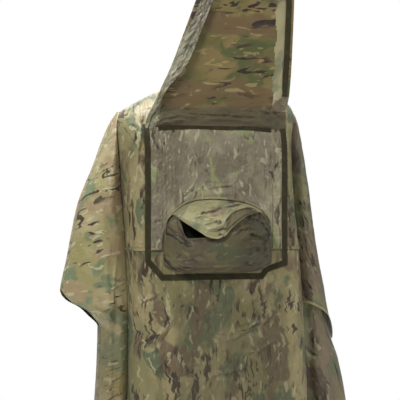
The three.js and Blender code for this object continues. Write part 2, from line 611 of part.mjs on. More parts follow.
// The hood pouch
const BAG_FOLDS = [
  { x0: 56, z0: -362, x1: 118, z1: -404, width: 9, out: 6 },
  { x0: 62, z0: -404, x1: 104, z1: -428, width: 8, out: 6 },
  { x0: 70, z0: -432, x1: 128, z1: -440, width: 8, out: -6 },
  { x0: -150, z0: -452, x1: -60, z1: -462, width: 8, out: -4 },
  { x0: -150, z0: -478, x1: 60, z1: -482, width: 6, out: 4 },
  { x0: 112, z0: -380, x1: 124, z1: -474, width: 7, out: 5 },
];
function hoodBag() {
  const columns = 24;
  const rows = 10;
  const middle = (BAG.left + BAG.right) / 2;
  const half = (BAG.right - BAG.left) / 2;
  return cloth("hood_bag", "clothDim", gridOf(columns, rows, (u, v) => {
    const s = mix(-1, 1, u);
    const across = mix(Math.sin(s * Math.PI / 2), s, 0.45); // columns closer together at both ends
    const x = middle + half * across;
    const rim = Math.min(along(BAG_RIM, "x", x, "z"), along(ARCH, "x", x, "z") - 1);
    const low = BAG.bottom + BAG.cornerRise * Math.abs(across) ** 6;
    const w = Math.sin(v * Math.PI / 2);
    const z = mix(rim, low, w);
    const round = (1 - Math.abs(across) ** 4) ** 0.55;
    const belly = BAG.belly * round * Math.sqrt(Math.max(0, 1 - w ** 3.4));
    const calm = smooth(w / 0.2) * round * smooth((1 - w) / 0.12); // no folds at the rim and the seams
    const out = mix(along(BAG_RIM, "x", x, "out"), belly, smooth(w / BAG.fullFrom))
      + folds(BAG_FOLDS, x, z) * calm;
    return onBack(x, z, 0).add(new THREE.Vector3(0, -(LAID + WALL + Math.max(0, out)), 0));
  }));
}

function hoodBrim() {
  const columns = 20;
  const rows = 8;
  return cloth("hood_brim", "cloth", gridOf(columns, rows, (u, v) => {
    const x = mix(BRIM_LIP[0].x, BRIM_LIP[BRIM_LIP.length - 1].x, u);
    const arch = along(ARCH, "x", x, "z") - 0.7;
    const lip = Math.min(arch - 4, along(BRIM_LIP, "x", x, "z"));
    const out = along(BRIM_LIP, "x", x, "out");
    const z = mix(arch, lip, v);
    const tuck = (out * 0.12 + 2) * smooth((v - BRIM.tuckFrom) / (1 - BRIM.tuckFrom)); // the lip turns back in
    const swell = out * BRIM.swell * Math.sin(v * Math.PI * 0.5) ** 0.8 - tuck;
    const seam = BRIM.seamOut * Math.exp(-(((x - BRIM.seamX) / BRIM.seamWidth) ** 2)) * smooth(v / 0.3);
    return onBack(x, z, 0).add(new THREE.Vector3(0, -(BRIM.start + swell + seam), 0));
  }));
}

// The lifted rear flap
// Part of the way from the sewn base (0) to the freely lifted flap (1).
const flapFree = (z) => smooth((z - FLAP.base) / FLAP.freeOver);
// Depth of the flap's face: sewn to the back at its base, leaning back a little as it rises.
function flapDepth(x, z) {
  const sewn = onBack(clamp(x, -205, 205), FLAP.base, FLAP.sewnOut).y;
  return mix(sewn, FLAP.y - FLAP.back * smooth(z / FLAP.top), flapFree(z));
}

function flapPoint(i, border, turn, main, z) {
  const left = along(FLAP_ROWS, "z", z, "left");
  const free = along(FLAP_ROWS, "z", z, "free");
  const right = along(FLAP_ROWS, "z", z, "right");
  const grow = flapFree(z);
  const radius = mix(FLAP_FOLD.sewnRadius, FLAP_FOLD.radius, grow);
  const lean = mix(FLAP_FOLD.sewnLean, FLAP_FOLD.lean, grow);
  const base = (x) => flapDepth(x, z);
  if (i >= border + turn) {
    const s = (i - border - turn) / main;
    const x = mix(left + radius, right, s);
    const fade = smooth((1 - s) / 0.06) * smooth(s / 0.08) * smooth((z - FLAP.base) / 12);
    return new THREE.Vector3(x, base(x) - folds(FLAP_FOLDS, x, z) * fade, z);
  }
  const y0 = base(left + radius);
  if (i >= border) {
    const a = ((border + turn - i) / turn) * Math.PI;
    return new THREE.Vector3(left + radius * (1 - Math.sin(a)), y0 - radius * (1 - Math.cos(a)), z);
  }
  const s = 1 - i / border;
  return new THREE.Vector3(mix(left + radius, free, s), y0 - 2 * radius - lean * s, z);
}

const FLAP_COLUMNS = { border: 3, turn: 4, main: 12 };
const FLAP_GRID = (() => {
  const { border, turn, main } = FLAP_COLUMNS;
  return gridOf(border + turn + main, FLAP_LEVELS.length - 1,
    (u, v, i, j) => flapPoint(i, border, turn, main, FLAP_LEVELS[j]));
})();

// Tape down the flap's right border, on its inner side, down to the bunched cloth at the base.
function flapTape() {
  const levels = FLAP_LEVELS.filter((z) => z > FLAP.tapeEnd);
  return cloth("flap_tape", "tape", gridOf(2, levels.length - 1, (u, v, i, j) => {
    const z = levels[j];
    const x = along(FLAP_ROWS, "z", z, "right") - FLAP.tapeIn + TAPE.width * u;
    return new THREE.Vector3(x, depthOn(FLAP_GRID, x, z) - LAID - TAPE.thick, z);
  }), TAPE.thick);
}

const poncho = new THREE.Group();
poncho.name = "rain_poncho";
poncho.add(
  cloth("back_yoke", "cloth", YOKE_GRID, WALL, panelTrim("back", YOKE_LINE)),
  cloth("back_lower", "cloth", LOWER_GRID, WALL, panelTrim("back", LOWER_LINE)),
  front(),
  leftSide("back", 9), leftSide("front", 6),
  rightSleeve("back", 9), rightSleeve("front", 6), rightSide(),
  frameTape(), binding(), innerPanel(),
  hoodBag(), hoodBrim(),
  cloth("rear_flap", "lifted", FLAP_GRID), flapTape(),
);

export default poncho;
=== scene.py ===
import math

import bpy
import numpy as np
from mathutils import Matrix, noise


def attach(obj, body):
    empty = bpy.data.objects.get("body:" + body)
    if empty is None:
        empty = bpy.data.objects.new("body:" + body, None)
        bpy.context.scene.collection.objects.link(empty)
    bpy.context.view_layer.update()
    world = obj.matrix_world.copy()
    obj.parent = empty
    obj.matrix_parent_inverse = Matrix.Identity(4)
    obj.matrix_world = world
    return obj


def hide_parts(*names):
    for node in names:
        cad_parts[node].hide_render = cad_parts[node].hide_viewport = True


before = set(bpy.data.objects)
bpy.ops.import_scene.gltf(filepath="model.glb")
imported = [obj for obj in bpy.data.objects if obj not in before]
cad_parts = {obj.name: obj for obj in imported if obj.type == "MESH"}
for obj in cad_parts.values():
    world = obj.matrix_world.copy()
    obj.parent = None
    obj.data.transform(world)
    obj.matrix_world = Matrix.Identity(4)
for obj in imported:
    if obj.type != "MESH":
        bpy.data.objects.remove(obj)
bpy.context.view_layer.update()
MM = 0.001


# The printed cloth
# Thin coated nylon with a soft blotch print in tan, olive, green and brown, with small dark and pale flecks.
# Fine pale specks are painted in as glints of light, and some pieces have painted shade in their print.
# The print runs down the back and the sides, and across the flap and the left sleeve.
def rgb(red, green, blue):
    """A colour as it looks on paper, 0 to 255, as Blender counts light."""
    shades = [v / 255 for v in (red, green, blue)]
    return tuple((v / 12.92 if v < 0.0404 else ((v + 0.055) / 1.055) ** 2.4) for v in shades) + (1,)


def add(tree, kind, sockets=(), **settings):
    """Adds a node. sockets gives its inputs by name or number: a value, a colour or another node's output."""
    made = tree.nodes.new(kind)
    for key, value in settings.items():
        setattr(made, key, value)
    for key, value in dict(sockets).items():
        if isinstance(value, bpy.types.NodeSocket):
            tree.links.new(value, made.inputs[key])
        else:
            made.inputs[key].default_value = value
    return made


def blotches(tree, place, size, detail=2.0, warp=0.0):
    """Soft noise with blotches of about this size in metres."""
    return add(tree, "ShaderNodeTexNoise",
               {"Vector": place, "Scale": 1 / size, "Detail": detail, "Roughness": 0.5,
                "Distortion": warp}).outputs[0]


def above(tree, value, level, blur):
    """1 where a value is above a level, with a blurred edge."""
    return add(tree, "ShaderNodeMapRange", {0: value, 1: level - blur, 2: level + blur},
               interpolation_type="SMOOTHSTEP").outputs[0]


def blend_in(tree, share, under, over):
    return add(tree, "ShaderNodeMix", {0: share, 6: under, 7: over}, data_type="RGBA").outputs[2]


def times(tree, a, b):
    return add(tree, "ShaderNodeMath", {0: a, 1: b}, operation="MULTIPLY").outputs[0]


def plus(tree, a, b):
    return add(tree, "ShaderNodeMath", {0: a, 1: b}, operation="ADD").outputs[0]


def moved(tree, place, scale, location):
    return add(tree, "ShaderNodeMapping",
               {"Vector": place, "Scale": (*scale, 1), "Location": (*location, 0)}).outputs[0]


def printed(name, colours, turn=0.0, shift=(0.0, 0.0), gloss=0.5, marks=0.58, painted_glints=0.1, crinkle=0.3,
            flecks=0.7, painted_shade=None):
    """The coated, printed cloth. colours: two grounds, green, brown, dark, pale. turn: degrees round.
    painted_glints: share of fine pale specks painted in as glints of light.
    painted_shade: painted shade, from where to where down the cloth the print fades to a darker colour,
    the colour, its share, and its two sides."""
    look = bpy.data.materials.new(name)
    look.use_nodes = True
    tree = look.node_tree
    shader = tree.nodes["Principled BSDF"]
    flat = add(tree, "ShaderNodeUVMap", uv_map="cloth").outputs[0]
    turned = add(tree, "ShaderNodeMapping",
                 {"Vector": flat, "Location": (*shift, 0),
                  "Rotation": (0, 0, math.radians(turn))}).outputs[0]
    ground, second, green, brown, dark, pale = colours

    wide = blotches(tree, moved(tree, turned, (1, 0.6), (0, 0)), 0.13, 2.0, 0.2)
    base = blend_in(tree, above(tree, wide, 0.5, 0.07), ground, second)
    green_part = blotches(tree, moved(tree, turned, (1, 0.7), (11.3, 5.1)), 0.1, 3.0, 0.6)
    base = blend_in(tree, times(tree, above(tree, green_part, 0.565, 0.03), 0.9), base, green)
    brown_part = blotches(tree, moved(tree, turned, (1, 0.5), (-7.7, 2.3)), 0.1, 3.0, 0.5)
    base = blend_in(tree, times(tree, above(tree, brown_part, 0.575, 0.025), 0.9), base, brown)
    group = above(tree, blotches(tree, moved(tree, turned, (1, 0.7), (3.1, -4.4)), 0.12, 1.0), 0.5, 0.05)
    pale_part = blotches(tree, moved(tree, turned, (1, 0.4), (0.4, 8.8)), 0.02, 2.0, 0.7)
    base = blend_in(tree, times(tree, above(tree, pale_part, marks + 0.04, 0.02), flecks), base, pale)
    mark = blotches(tree, moved(tree, turned, (1, 0.3), (3.7, 1.9)), 0.02, 2.5, 1.1)
    base = blend_in(tree, times(tree, times(tree, above(tree, mark, marks - 0.025, 0.015), 0.6), group),
                    base, brown)
    base = blend_in(tree, times(tree, times(tree, above(tree, mark, marks, 0.008), 0.95), group), base,
                    dark)
    # Painted shade: from a level on the cloth, and between two sides across it, the print fades towards a
    # darker colour.
    if painted_shade:
        far, near, colour, share, left, right = painted_shade
        place = add(tree, "ShaderNodeSeparateXYZ", {"Vector": flat}).outputs
        wave = times(tree, plus(tree, wide, -0.5), 0.1)
        shade = add(tree, "ShaderNodeMapRange", {0: plus(tree, place[1], wave), 1: far, 2: near, 4: share},
                    interpolation_type="SMOOTHSTEP").outputs[0]
        across = plus(tree, place[0], wave)
        beside = times(tree, above(tree, across, left, 0.02),
                       plus(tree, times(tree, above(tree, across, right, 0.02), -1), 1))
        base = blend_in(tree, times(tree, shade, beside), base, colour)

    fine = blotches(tree, moved(tree, turned, (1, 0.4), (0, 0)), 0.008, 3.0, 0.8)
    # Fine pale specks painted into the colour as glints of light on the coating.
    base = blend_in(tree, times(tree, above(tree, fine, 0.58, 0.06), painted_glints), base, pale)
    tree.links.new(base, shader.inputs["Base Color"])

    weave = add(tree, "ShaderNodeTexNoise", {"Vector": turned, "Scale": 900.0, "Detail": 1.0}).outputs[0]
    cells = add(tree, "ShaderNodeTexVoronoi",
                {"Vector": moved(tree, turned, (1, 0.5), (0, 0)), "Scale": 1 / 0.02,
                                               "Randomness": 1.0}, feature="DISTANCE_TO_EDGE").outputs[0]
    ridges = above(tree, cells, 0.1, 0.1)
    height = plus(tree, times(tree, ridges, -0.8 * crinkle), plus(tree, times(tree, fine, crinkle),
                                                                   times(tree, weave, 0.1)))
    bump = add(tree, "ShaderNodeBump", {"Strength": 0.6, "Distance": 0.002, "Height": height})
    tree.links.new(bump.outputs[0], shader.inputs["Normal"])
    shine = add(tree, "ShaderNodeMapRange",
                {0: fine, 1: 0.3, 2: 0.7, 3: gloss - 0.08, 4: gloss + 0.1}).outputs[0]
    tree.links.new(shine, shader.inputs["Roughness"])
    shader.inputs["Specular IOR Level"].default_value = 0.45
    shader.inputs["Sheen Weight"].default_value = 0.1
    shader.inputs["Sheen Roughness"].default_value = 0.45
    return look


DARK = rgb(56, 46, 36)
# Painted shade in the body's print: the lower back darkens, from left of the middle to the right side.
body_print = printed("body_print",
                     (rgb(150, 138, 98), rgb(126, 120, 80), rgb(88, 98, 70), rgb(104, 88, 66), DARK,
                                    rgb(176, 168, 130)),
                     painted_shade=(-0.68, -0.78, rgb(66, 60, 38), 0.42, -0.13, 0.205))


# Cloth as a thin sheet
# Each piece is a fine grid laid over the garment's form, creased, and given the thickness of doubled nylon.
CLOTH = 1.0


def mix(a, b, t):
    return a + (b - a) * t


def smooth(t):
    t = np.clip(t, 0, 1)
    return t * t * (3 - 2 * t)


def table(names, *rows):
    """A short table as columns by name, sorted by its first column."""
    rows = sorted(rows)
    return {name: np.array([row[k] for row in rows], float) for k, name in enumerate(names.split())}


def along(rows, name, at):
    """Smooth value of a column where the table's first column has the value at, without overshoot."""
    key, value = rows[next(iter(rows))], rows[name]
    step = np.diff(value) / np.diff(key)
    a, b = step[:-1], step[1:]
    middle = np.where(a * b > 0, 2 * a * b / np.where(a + b == 0, 1, a + b), 0)
    slope = np.concatenate([step[:1], middle, step[-1:]])
    at = np.clip(at, key[0], key[-1])
    i = np.clip(np.searchsorted(key, at, side="right") - 1, 0, len(key) - 2)
    h = key[i + 1] - key[i]
    t = (at - key[i]) / h
    return ((2 * t**3 - 3 * t**2 + 1) * value[i] + (t**3 - 2 * t**2 + t) * slope[i] * h
            + (3 * t**2 - 2 * t**3) * value[i + 1] + (t**3 - t**2) * slope[i + 1] * h)


def folds(rows, x, z):
    """Large folds, one row each: from x, z to x, z, half width, height. They fade at the start, and at the
    end unless they reach the hem.
    """
    total = np.zeros(np.broadcast(x, z).shape)
    for x0, z0, x1, z1, width, out in rows:
        length = math.hypot(x1 - x0, z1 - z0)
        s = ((x - x0) * (x1 - x0) + (z - z0) * (z1 - z0)) / length
        off = ((x - x0) * (z1 - z0) - (z - z0) * (x1 - x0)) / length
        end = smooth(s / (0.28 * length)) * (1 if z1 <= HEM else smooth((length - s) / (0.28 * length)))
        total += out * end * np.exp(-((off / width) ** 2))
    return total


def creases(rows, x, z):
    """Sharper creases, one row each: from x, z to x, z, how far the middle bows, half width, height."""
    total = np.zeros(np.broadcast(x, z).shape)
    for x0, z0, x1, z1, bow, width, out in rows:
        length = math.hypot(x1 - x0, z1 - z0)
        s = ((x - x0) * (x1 - x0) + (z - z0) * (z1 - z0)) / length**2
        off = ((x - x0) * (z1 - z0) - (z - z0) * (x1 - x0)) / length - bow * 4 * s * (1 - s)
        end = smooth(s / 0.3) * smooth((1 - s) / 0.3)
        total += out * end / (1 + (off / width) ** 2) ** 1.5
    return total


def laps(rows, x, z, steep=0.3):
    """Long curved folds, one row each: half width, height, path of x, z. Steep right of the path."""
    total = np.zeros(np.broadcast(x, z).shape)
    for width, out, path in rows:
        path = np.array(path, float)
        length = np.concatenate([[0], np.cumsum(np.hypot(*np.diff(path, axis=0).T))])
        nearest = np.full(total.shape, np.inf)
        side, at = np.zeros(total.shape), np.zeros(total.shape)
        for k, (a, b) in enumerate(zip(path, path[1:])):
            dx, dz = b - a
            s = np.clip(((x - a[0]) * dx + (z - a[1]) * dz) / (dx * dx + dz * dz), 0, 1)
            off_x, off_z = x - a[0] - s * dx, z - a[1] - s * dz
            away = np.hypot(off_x, off_z)
            closer = away < nearest
            nearest = np.where(closer, away, nearest)
            side = np.where(closer, off_z * dx - off_x * dz, side)
            at = np.where(closer, length[k] + s * (length[k + 1] - length[k]), at)
        end = smooth(at / (0.2 * length[-1])) * smooth((length[-1] - at) / (0.2 * length[-1]))
        total += out * end / (1 + (nearest / np.where(side > 0, width, width * steep)) ** 2) ** 1.5
    return total


def crumple(x, z, size, seed, stretch=1.0, turn=0.0):
    """Sharp-crested wrinkles between -1 and 1: size across, stretch along, turn from the vertical."""
    c, s = math.cos(math.radians(turn)), math.sin(math.radians(turn))
    u, v = (x * c + z * s) / size, (z * c - x * s) / (size * stretch)
    soft = np.fromiter((noise.noise((a, b, seed)) for a, b in zip(u.ravel(), v.ravel())), float, u.size)
    return 1 - 3.2 * np.abs(soft).reshape(u.shape) ** 0.85


def outwards(points):
    """Outward direction at each point of a grid."""
    n = np.cross(np.gradient(points, axis=0), np.gradient(points, axis=1))
    return n / np.maximum(np.linalg.norm(n, axis=2, keepdims=True), 1e-9)


def flat_places(points):
    """Where each point of a grid was on the flat cloth, in metres."""
    steps = np.linalg.norm(np.diff(points, axis=1), axis=2)
    across = np.concatenate([np.zeros((len(points), 1)), np.cumsum(steps, axis=1)], axis=1)
    across -= across[:, across.shape[1] // 2, None]
    fall = np.linalg.norm(np.diff(points, axis=0), axis=2).mean(axis=1)
    down = np.concatenate([[0], np.cumsum(fall)])[:, None] + 0 * across
    return np.stack([across, -down], axis=-1) * MM


def sheet_piece(name, points, look, thick=CLOTH, start=(0.0, 0.0), places=None):
    """A grid of outer points, top row first, made a sheet, its thickness behind. places: its flat cloth."""
    rows, columns = points.shape[0] - 1, points.shape[1] - 1
    bpy.ops.object.select_all(action="DESELECT")
    bpy.ops.mesh.primitive_grid_add(x_subdivisions=columns, y_subdivisions=rows, size=1)
    piece = bpy.context.active_object
    piece.name = piece.data.name = name
    piece.data.vertices.foreach_set("co", (points[::-1] * MM).ravel())
    places = flat_places(points) if places is None else places
    places = (places[::-1] + np.array(start)).reshape(-1, 2)
    corner = np.empty(len(piece.data.loops), int)
    piece.data.loops.foreach_get("vertex_index", corner)
    piece.data.uv_layers[0].name = "cloth"
    piece.data.uv_layers[0].data.foreach_set("uv", places[corner].ravel())
    piece.data.update()
    wall = piece.modifiers.new("wall", "SOLIDIFY")
    wall.thickness = thick * MM
    wall.offset = -1
    bpy.ops.object.modifier_apply(modifier="wall")
    bpy.ops.object.shade_smooth_by_angle(angle=math.radians(62))
    piece.data.materials.append(look)
    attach(piece, "root")
    return piece


def hem(name, band, look, thick=0.8, start=(0.0, 0.0)):
    """A turned hem on a few rows or columns of a piece's grid, just outside them, its edges pressed down."""
    rows, columns = band.shape[:2]
    across = np.linspace(-1, 1, rows)[:, None] if rows < columns else np.linspace(-1, 1, columns)[None, :]
    rise = 0.15 + thick * (1 - 0.35 * np.abs(across) ** 6)
    return sheet_piece(name, band + outwards(band) * rise[..., None], look, thick, start)


def stitches(name, lines, step=4.0):
    """Rows of thread: one stitch is copied along each line of points and their outward directions."""
    bpy.ops.object.select_all(action="DESELECT")
    bpy.ops.mesh.primitive_cylinder_add(vertices=5, radius=0.32, depth=2.8, rotation=(0, math.pi / 2, 0))
    thread = bpy.context.active_object
    thread.name = thread.data.name = name
    bpy.ops.object.mode_set(mode="EDIT")
    bpy.ops.mesh.select_all(action="SELECT")
    bpy.ops.mesh.bevel(offset=0.16, segments=1, affect="EDGES")
    bpy.ops.object.mode_set(mode="OBJECT")
    bpy.ops.object.transform_apply(location=False, rotation=True, scale=False)
    one = np.array([v.co[:] for v in thread.data.vertices])
    faces = [list(f.vertices) for f in thread.data.polygons]
    made, joined = [], []
    for points, out in lines:
        length = np.concatenate([[0], np.cumsum(np.linalg.norm(np.diff(points, axis=0), axis=1))])
        at = np.arange(step / 2, length[-1] - step / 2, step)
        place = np.stack([np.interp(at, length, points[:, k]) for k in range(3)], axis=1)
        ahead = np.stack([np.interp(at + 1, length, points[:, k]) for k in range(3)], axis=1) - place
        up = np.stack([np.interp(at, length, out[:, k]) for k in range(3)], axis=1)
        ahead /= np.linalg.norm(ahead, axis=1, keepdims=True)
        side = np.cross(up, ahead)
        side /= np.linalg.norm(side, axis=1, keepdims=True)
        for p, a, b, c in zip(place, ahead, side, up):
            joined += [[v + len(made) * len(one) for v in face] for face in faces]
            made.append(p + one @ np.stack([a, b, c]))
    thread.data.clear_geometry()
    thread.data.from_pydata((np.concatenate(made) * MM).tolist(), [], joined)
    thread.data.materials.append(thread_look)
    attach(thread, "root")
    return thread


thread_look = bpy.data.materials.new("thread_look")
thread_look.use_nodes = True
thread_look.node_tree.nodes["Principled BSDF"].inputs["Base Color"].default_value = rgb(86, 78, 54)
thread_look.node_tree.nodes["Principled BSDF"].inputs["Roughness"].default_value = 0.7


# Back yoke, lower back and front
# The yoke is the upper layer of the back, sewn in at the shoulders and free along its hem.
# The lower back runs on under that hem, and the front hangs from the shoulder seams to the poncho's hem.
HEM = -1090
YOKE_HEM = -437
RIDGE_Y = -5
EDGE_Y = 10
ROLL_END = -180
NECK_HALF = 108
NECK = {"back": (-85, 20), "front": (93, 58)}
SHOULDER = {
    False: table("x z", (108, 6), (130, -2), (170, -21), (208, -42), (240, -61)),
    True: table("x z", (108, 6), (150, -2), (205, -13), (250, -27)),
}
SIDE = {
    False: table("z corner valley edge arm",
                 (-61, 206, 240, 245, 40), (-83, 209, 252, 258, 60), (-124, 211, 258, 275, 75),
                 (-165, 212, 256, 291, 82), (-215, 212, 252, 311, 86), (-275, 212, 248, 338, 90),
                 (-321, 212, 244, 354, 92), (-400, 211, 238, 371, 93), (-462, 210, 235, 383, 92),
                 (-512, 210, 233, 395, 89), (-541, 210, 232, 400, 86), (-557, 210, 231, 394, 84),
                 (-576, 210, 231, 377, 82), (-599, 210, 230, 337, 80), (-622, 210, 229, 314, 78),
                 (-647, 210, 229, 294, 76), (-726, 210, 230, 296, 76), (-900, 212, 233, 306, 84),
                 (-1090, 216, 238, 322, 92)),
    True: table("z corner valley edge arm",
                (-27, 205, 250, 256, 25), (-49, 205, 254, 265, 45), (-66, 204, 254, 273, 58),
                (-101, 198, 242, 282, 70), (-150, 196, 228, 290, 79), (-219, 197, 230, 302, 84),
                (-302, 200, 237, 314, 87), (-380, 204, 247, 325, 88), (-452, 208, 255, 338, 88),
                (-551, 211, 264, 361, 88), (-627, 214, 270, 376, 88), (-703, 217, 275, 400, 88),
                (-761, 218, 278, 419, 90), (-900, 222, 282, 438, 94), (-1090, 226, 288, 452, 98)),
}
FLAT = {
    "back": table("z y", (-90, 150), (-500, 151), (-760, 154), (-1090, 168)),
    "front": table("z y", (-90, 118), (-420, 134), (-760, 142), (-1090, 158)),
}
VALLEY_Y = {"back": 60, "front": 46}
BACK_FOLDS = [
    (-190, -540, -205, -1090, 26, 13), (-150, -640, -146, -1090, 22, -8), (-212, -560, -90, -640, 12, 5),
    (-190, -742, -95, -636, 14, 6), (-20, -700, 128, -664, 13, 6), (-60, -720, -30, -1090, 30, 9),
    (20, -760, 38, -1090, 26, -9), (92, -640, 104, -1090, 28, 8), (140, -560, 150, -980, 22, -6),
    (196, -520, 206, -1090, 22, 9), (-226, -112, -212, -160, 10, 5), (-224, -430, -208, -390, 10, 4),
    (-226, -505, -206, -488, 10, 4),
]
FRONT_FOLDS = [
    (-190, -320, -205, -1090, 30, 11), (-130, -420, -138, -1090, 26, -9), (-60, -520, -72, -1090, 30, 10),
    (10, -460, 4, -1090, 28, -8), (80, -380, 96, -1090, 30, 10), (150, -560, 160, -1090, 24, -9),
    (205, -420, 214, -1090, 24, 8), (-90, -110, -40, -250, 20, -5), (90, -110, 44, -260, 20, -5),
]


def top_edge(face, right, x):
    """Depth and level of the upper edge: neck curve, then shoulder seam."""
    deep, drop = NECK[face]
    c = np.sqrt(np.clip(1 - (x / NECK_HALF) ** 2, 0, 1))
    at_neck = x < NECK_HALF
    return (np.where(at_neck, RIDGE_Y + deep * c, RIDGE_Y),
            np.where(at_neck, 6 - drop * c, along(SHOULDER[right], "z", x)))


def panel_points(face, right, c, a, z, extra=None):
    """The back or front at level z: c runs from 0 in the middle to 1 at the corner, a round the corner."""
    sign = -1 if face == "back" else 1
    side = SIDE[right]
    corner_top, valley_top = side["corner"][-1], side["valley"][-1]
    x_top = np.minimum(c * corner_top + (valley_top - corner_top) * np.sin(a), valley_top)
    y_top, z_top = top_edge(face, right, x_top)
    corner, valley = along(side, "corner", z), along(side, "valley", z)
    x = (1 if right else -1) * (c * corner + (valley - corner) * np.sin(a))
    flat = along(FLAT[face], "y", z) + 4 * (1 - c * c)
    depth = mix(flat, VALLEY_Y[face], 1 - np.cos(a))
    drop = np.clip((z_top - z) / (z_top - ROLL_END), 0, 1)
    roll = np.sqrt(1 - (1 - drop) ** 2)
    if face == "back":
        in_frame = smooth((219 - np.abs(x)) / 9) * smooth((z + 532) / 16)
        out = folds(BACK_FOLDS, x, z) * (1 - in_frame)
    else:
        out = folds(FRONT_FOLDS, x, z)
    if extra is not None:
        out = out + extra(x, z)
    y = y_top + (sign * depth - y_top) * roll + sign * out * roll * np.cos(a)
    return np.stack(np.broadcast_arrays(x, y, z), axis=-1)


def rolled_levels(top, bottom, roll_rows, rows):
    """Levels from the seam over the shoulder by equal angles, then down to the hem by equal steps."""
    j = np.arange(rows + 1)[:, None]
    over = top - (top - ROLL_END) * (1 - np.cos(np.minimum(j / roll_rows, 1) * math.pi / 2))
    return np.where(j <= roll_rows, over, mix(ROLL_END, bottom, (j - roll_rows) / (rows - roll_rows)))


def panel_grid(face, flat_columns, corner_columns, levels, extra=None):
    """Both halves of the back or front as one grid, the columns in the order that makes it look outwards."""
    c = np.concatenate([np.linspace(0, 1, flat_columns + 1), np.ones(corner_columns)])[None, :]
    a = np.concatenate([np.zeros(flat_columns + 1),
                        np.linspace(0, math.pi / 2, corner_columns + 1)[1:]])[None, :]
    halves = []
    for right in (False, True):
        side = SIDE[right]
        x_top = c * side["corner"][-1] + (side["valley"][-1] - side["corner"][-1]) * np.sin(a)
        top = top_edge(face, right, np.minimum(x_top, side["valley"][-1]))[1]
        halves.append(panel_points(face, right, c, a, levels(top), extra))
    grid = np.concatenate([halves[0][:, :0:-1], halves[1]], axis=1)
    return grid if face == "back" else grid[:, ::-1]


def under_frame(x, z):
    """1 where tape, inner panel and hood pouch lie on the back, 0 away from them."""
    return smooth((x + 216) / 6) * smooth((204 - x) / 6) * smooth((-88 - z) / 8) * smooth((z + 525) / 8)


YOKE_CREASES = [
    (-150, -40, -196, -96, 6, 3, 2.2), (-168, -52, -205, -120, -8, 3, 1.8),
    (-222, -80, -206, -170, 5, 4, 2.6),
    (-244, -96, -214, -150, -5, 3, -2.4), (-240, -128, -212, -196, 8, 5, 3),
    (-214, -200, -224, -330, -5, 8, 2.4),
    (-232, -250, -214, -268, 2, 3, 1.8), (-236, -330, -211, -372, 4, 3, 2.2),
    (-228, -380, -208, -437, 5, 4, -2.4),
    (222, -80, 206, -190, -5, 4, 2.4), (236, -60, 212, -130, 6, 3, -2), (214, -210, 220, -330, 3, 5, 1.6),
    (212, -330, 240, -395, -6, 4, 2), (160, -30, 196, -82, -5, 3, 1.8),
    (-196, -62, -213, -118, 3, 3.5, 6), (-212, -100, -231, -206, 5, 4, 5.5),
    (-206, -96, -222, -190, 4, 4, -3.5),
    (-262, -70, -150, -52, 3, 3, -3.5), (-262, -64, -148, -46, 3, 3, 2.5),
    (-246, -104, -226, -128, -2, 3, 3.2),
    (-238, -150, -213, -176, 3, 3.5, -3), (-236, -160, -216, -190, -2, 3, 3),
    (-222, -388, -202, -400, -2, 3, 2.6),
    (-230, -410, -206, -436, 3, 3, 3.4), (218, -120, 238, -176, 4, 4, 3),
    (214, -262, 236, -300, -4, 4, 2.6),
    (216, -300, 240, -352, 3, 3, -2.6), (214, -392, 246, -430, -3, 3, 2.8),
]


YOKE_LAPS = [
    (7, 12, [(-230, -230), (-227, -170), (-219, -125), (-212, -104), (-206, -80), (-196, -50)]),
    (4, 5, [(-262, -72), (-232, -58), (-196, -52), (-150, -52)]),
    (4, 4, [(-246, -142), (-232, -136), (-220, -140)]), (5, 4, [(-240, -186), (-226, -182), (-216, -192)]),
    (4, 5, [(-242, -420), (-226, -412), (-212, -420)]), (5, 4, [(-212, -300), (-226, -330), (-224, -372)]),
    (4, 5, [(214, -112), (226, -150), (228, -196)]), (4, 4, [(214, -286), (230, -304), (244, -340)]),
]


def yoke_surface(x, z):
    wild = 1 - under_frame(x, z)
    fine = 1.6 * crumple(x, z, 26, 3.1, 1.8, 12) + 1.0 * crumple(x, z, 12, 9.7, 1.5, -20) + laps(YOKE_LAPS,
                                                                                                 x, z)
    lifted = 5 * smooth((x - 200) / 16) * smooth((-400 - z) / 32)
    lifted = lifted + 2 * smooth((-208 - x) / 10) * smooth((-410 - z) / 24)
    return wild * (creases(YOKE_CREASES, x, z) + fine) + lifted


yoke_grid = panel_grid("back", 72, 20, lambda top: rolled_levels(top, YOKE_HEM, 40, 126), yoke_surface)
yoke = sheet_piece("yoke_cloth", yoke_grid, body_print)
# Painted shade: a near-black, dull finish on the yoke's faces inside the hood pouch, behind its mouth, where
# the inside lies in shade.
pouch_painted_shade = bpy.data.materials.new("pouch_painted_shade")
pouch_painted_shade.use_nodes = True
pouch_painted_shade.node_tree.nodes["Principled BSDF"].inputs["Base Color"].default_value = rgb(30, 26, 18)
pouch_painted_shade.node_tree.nodes["Principled BSDF"].inputs["Roughness"].default_value = 0.9
yoke.data.materials.append(pouch_painted_shade)
for face in yoke.data.polygons:
    x, y, z = face.center / MM
    if y < 0 and -132 < x < 108 and -420 < z < -352:
        face.material_index = 1
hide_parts("back_yoke")
yoke_hem = hem("yoke_hem", yoke_grid[-4:], body_print, start=(0, -0.5))
yoke_stitches = stitches("yoke_stitches",
                         [(yoke_grid[-4] + outwards(yoke_grid)[-4] * 0.9, outwards(yoke_grid)[-4])])

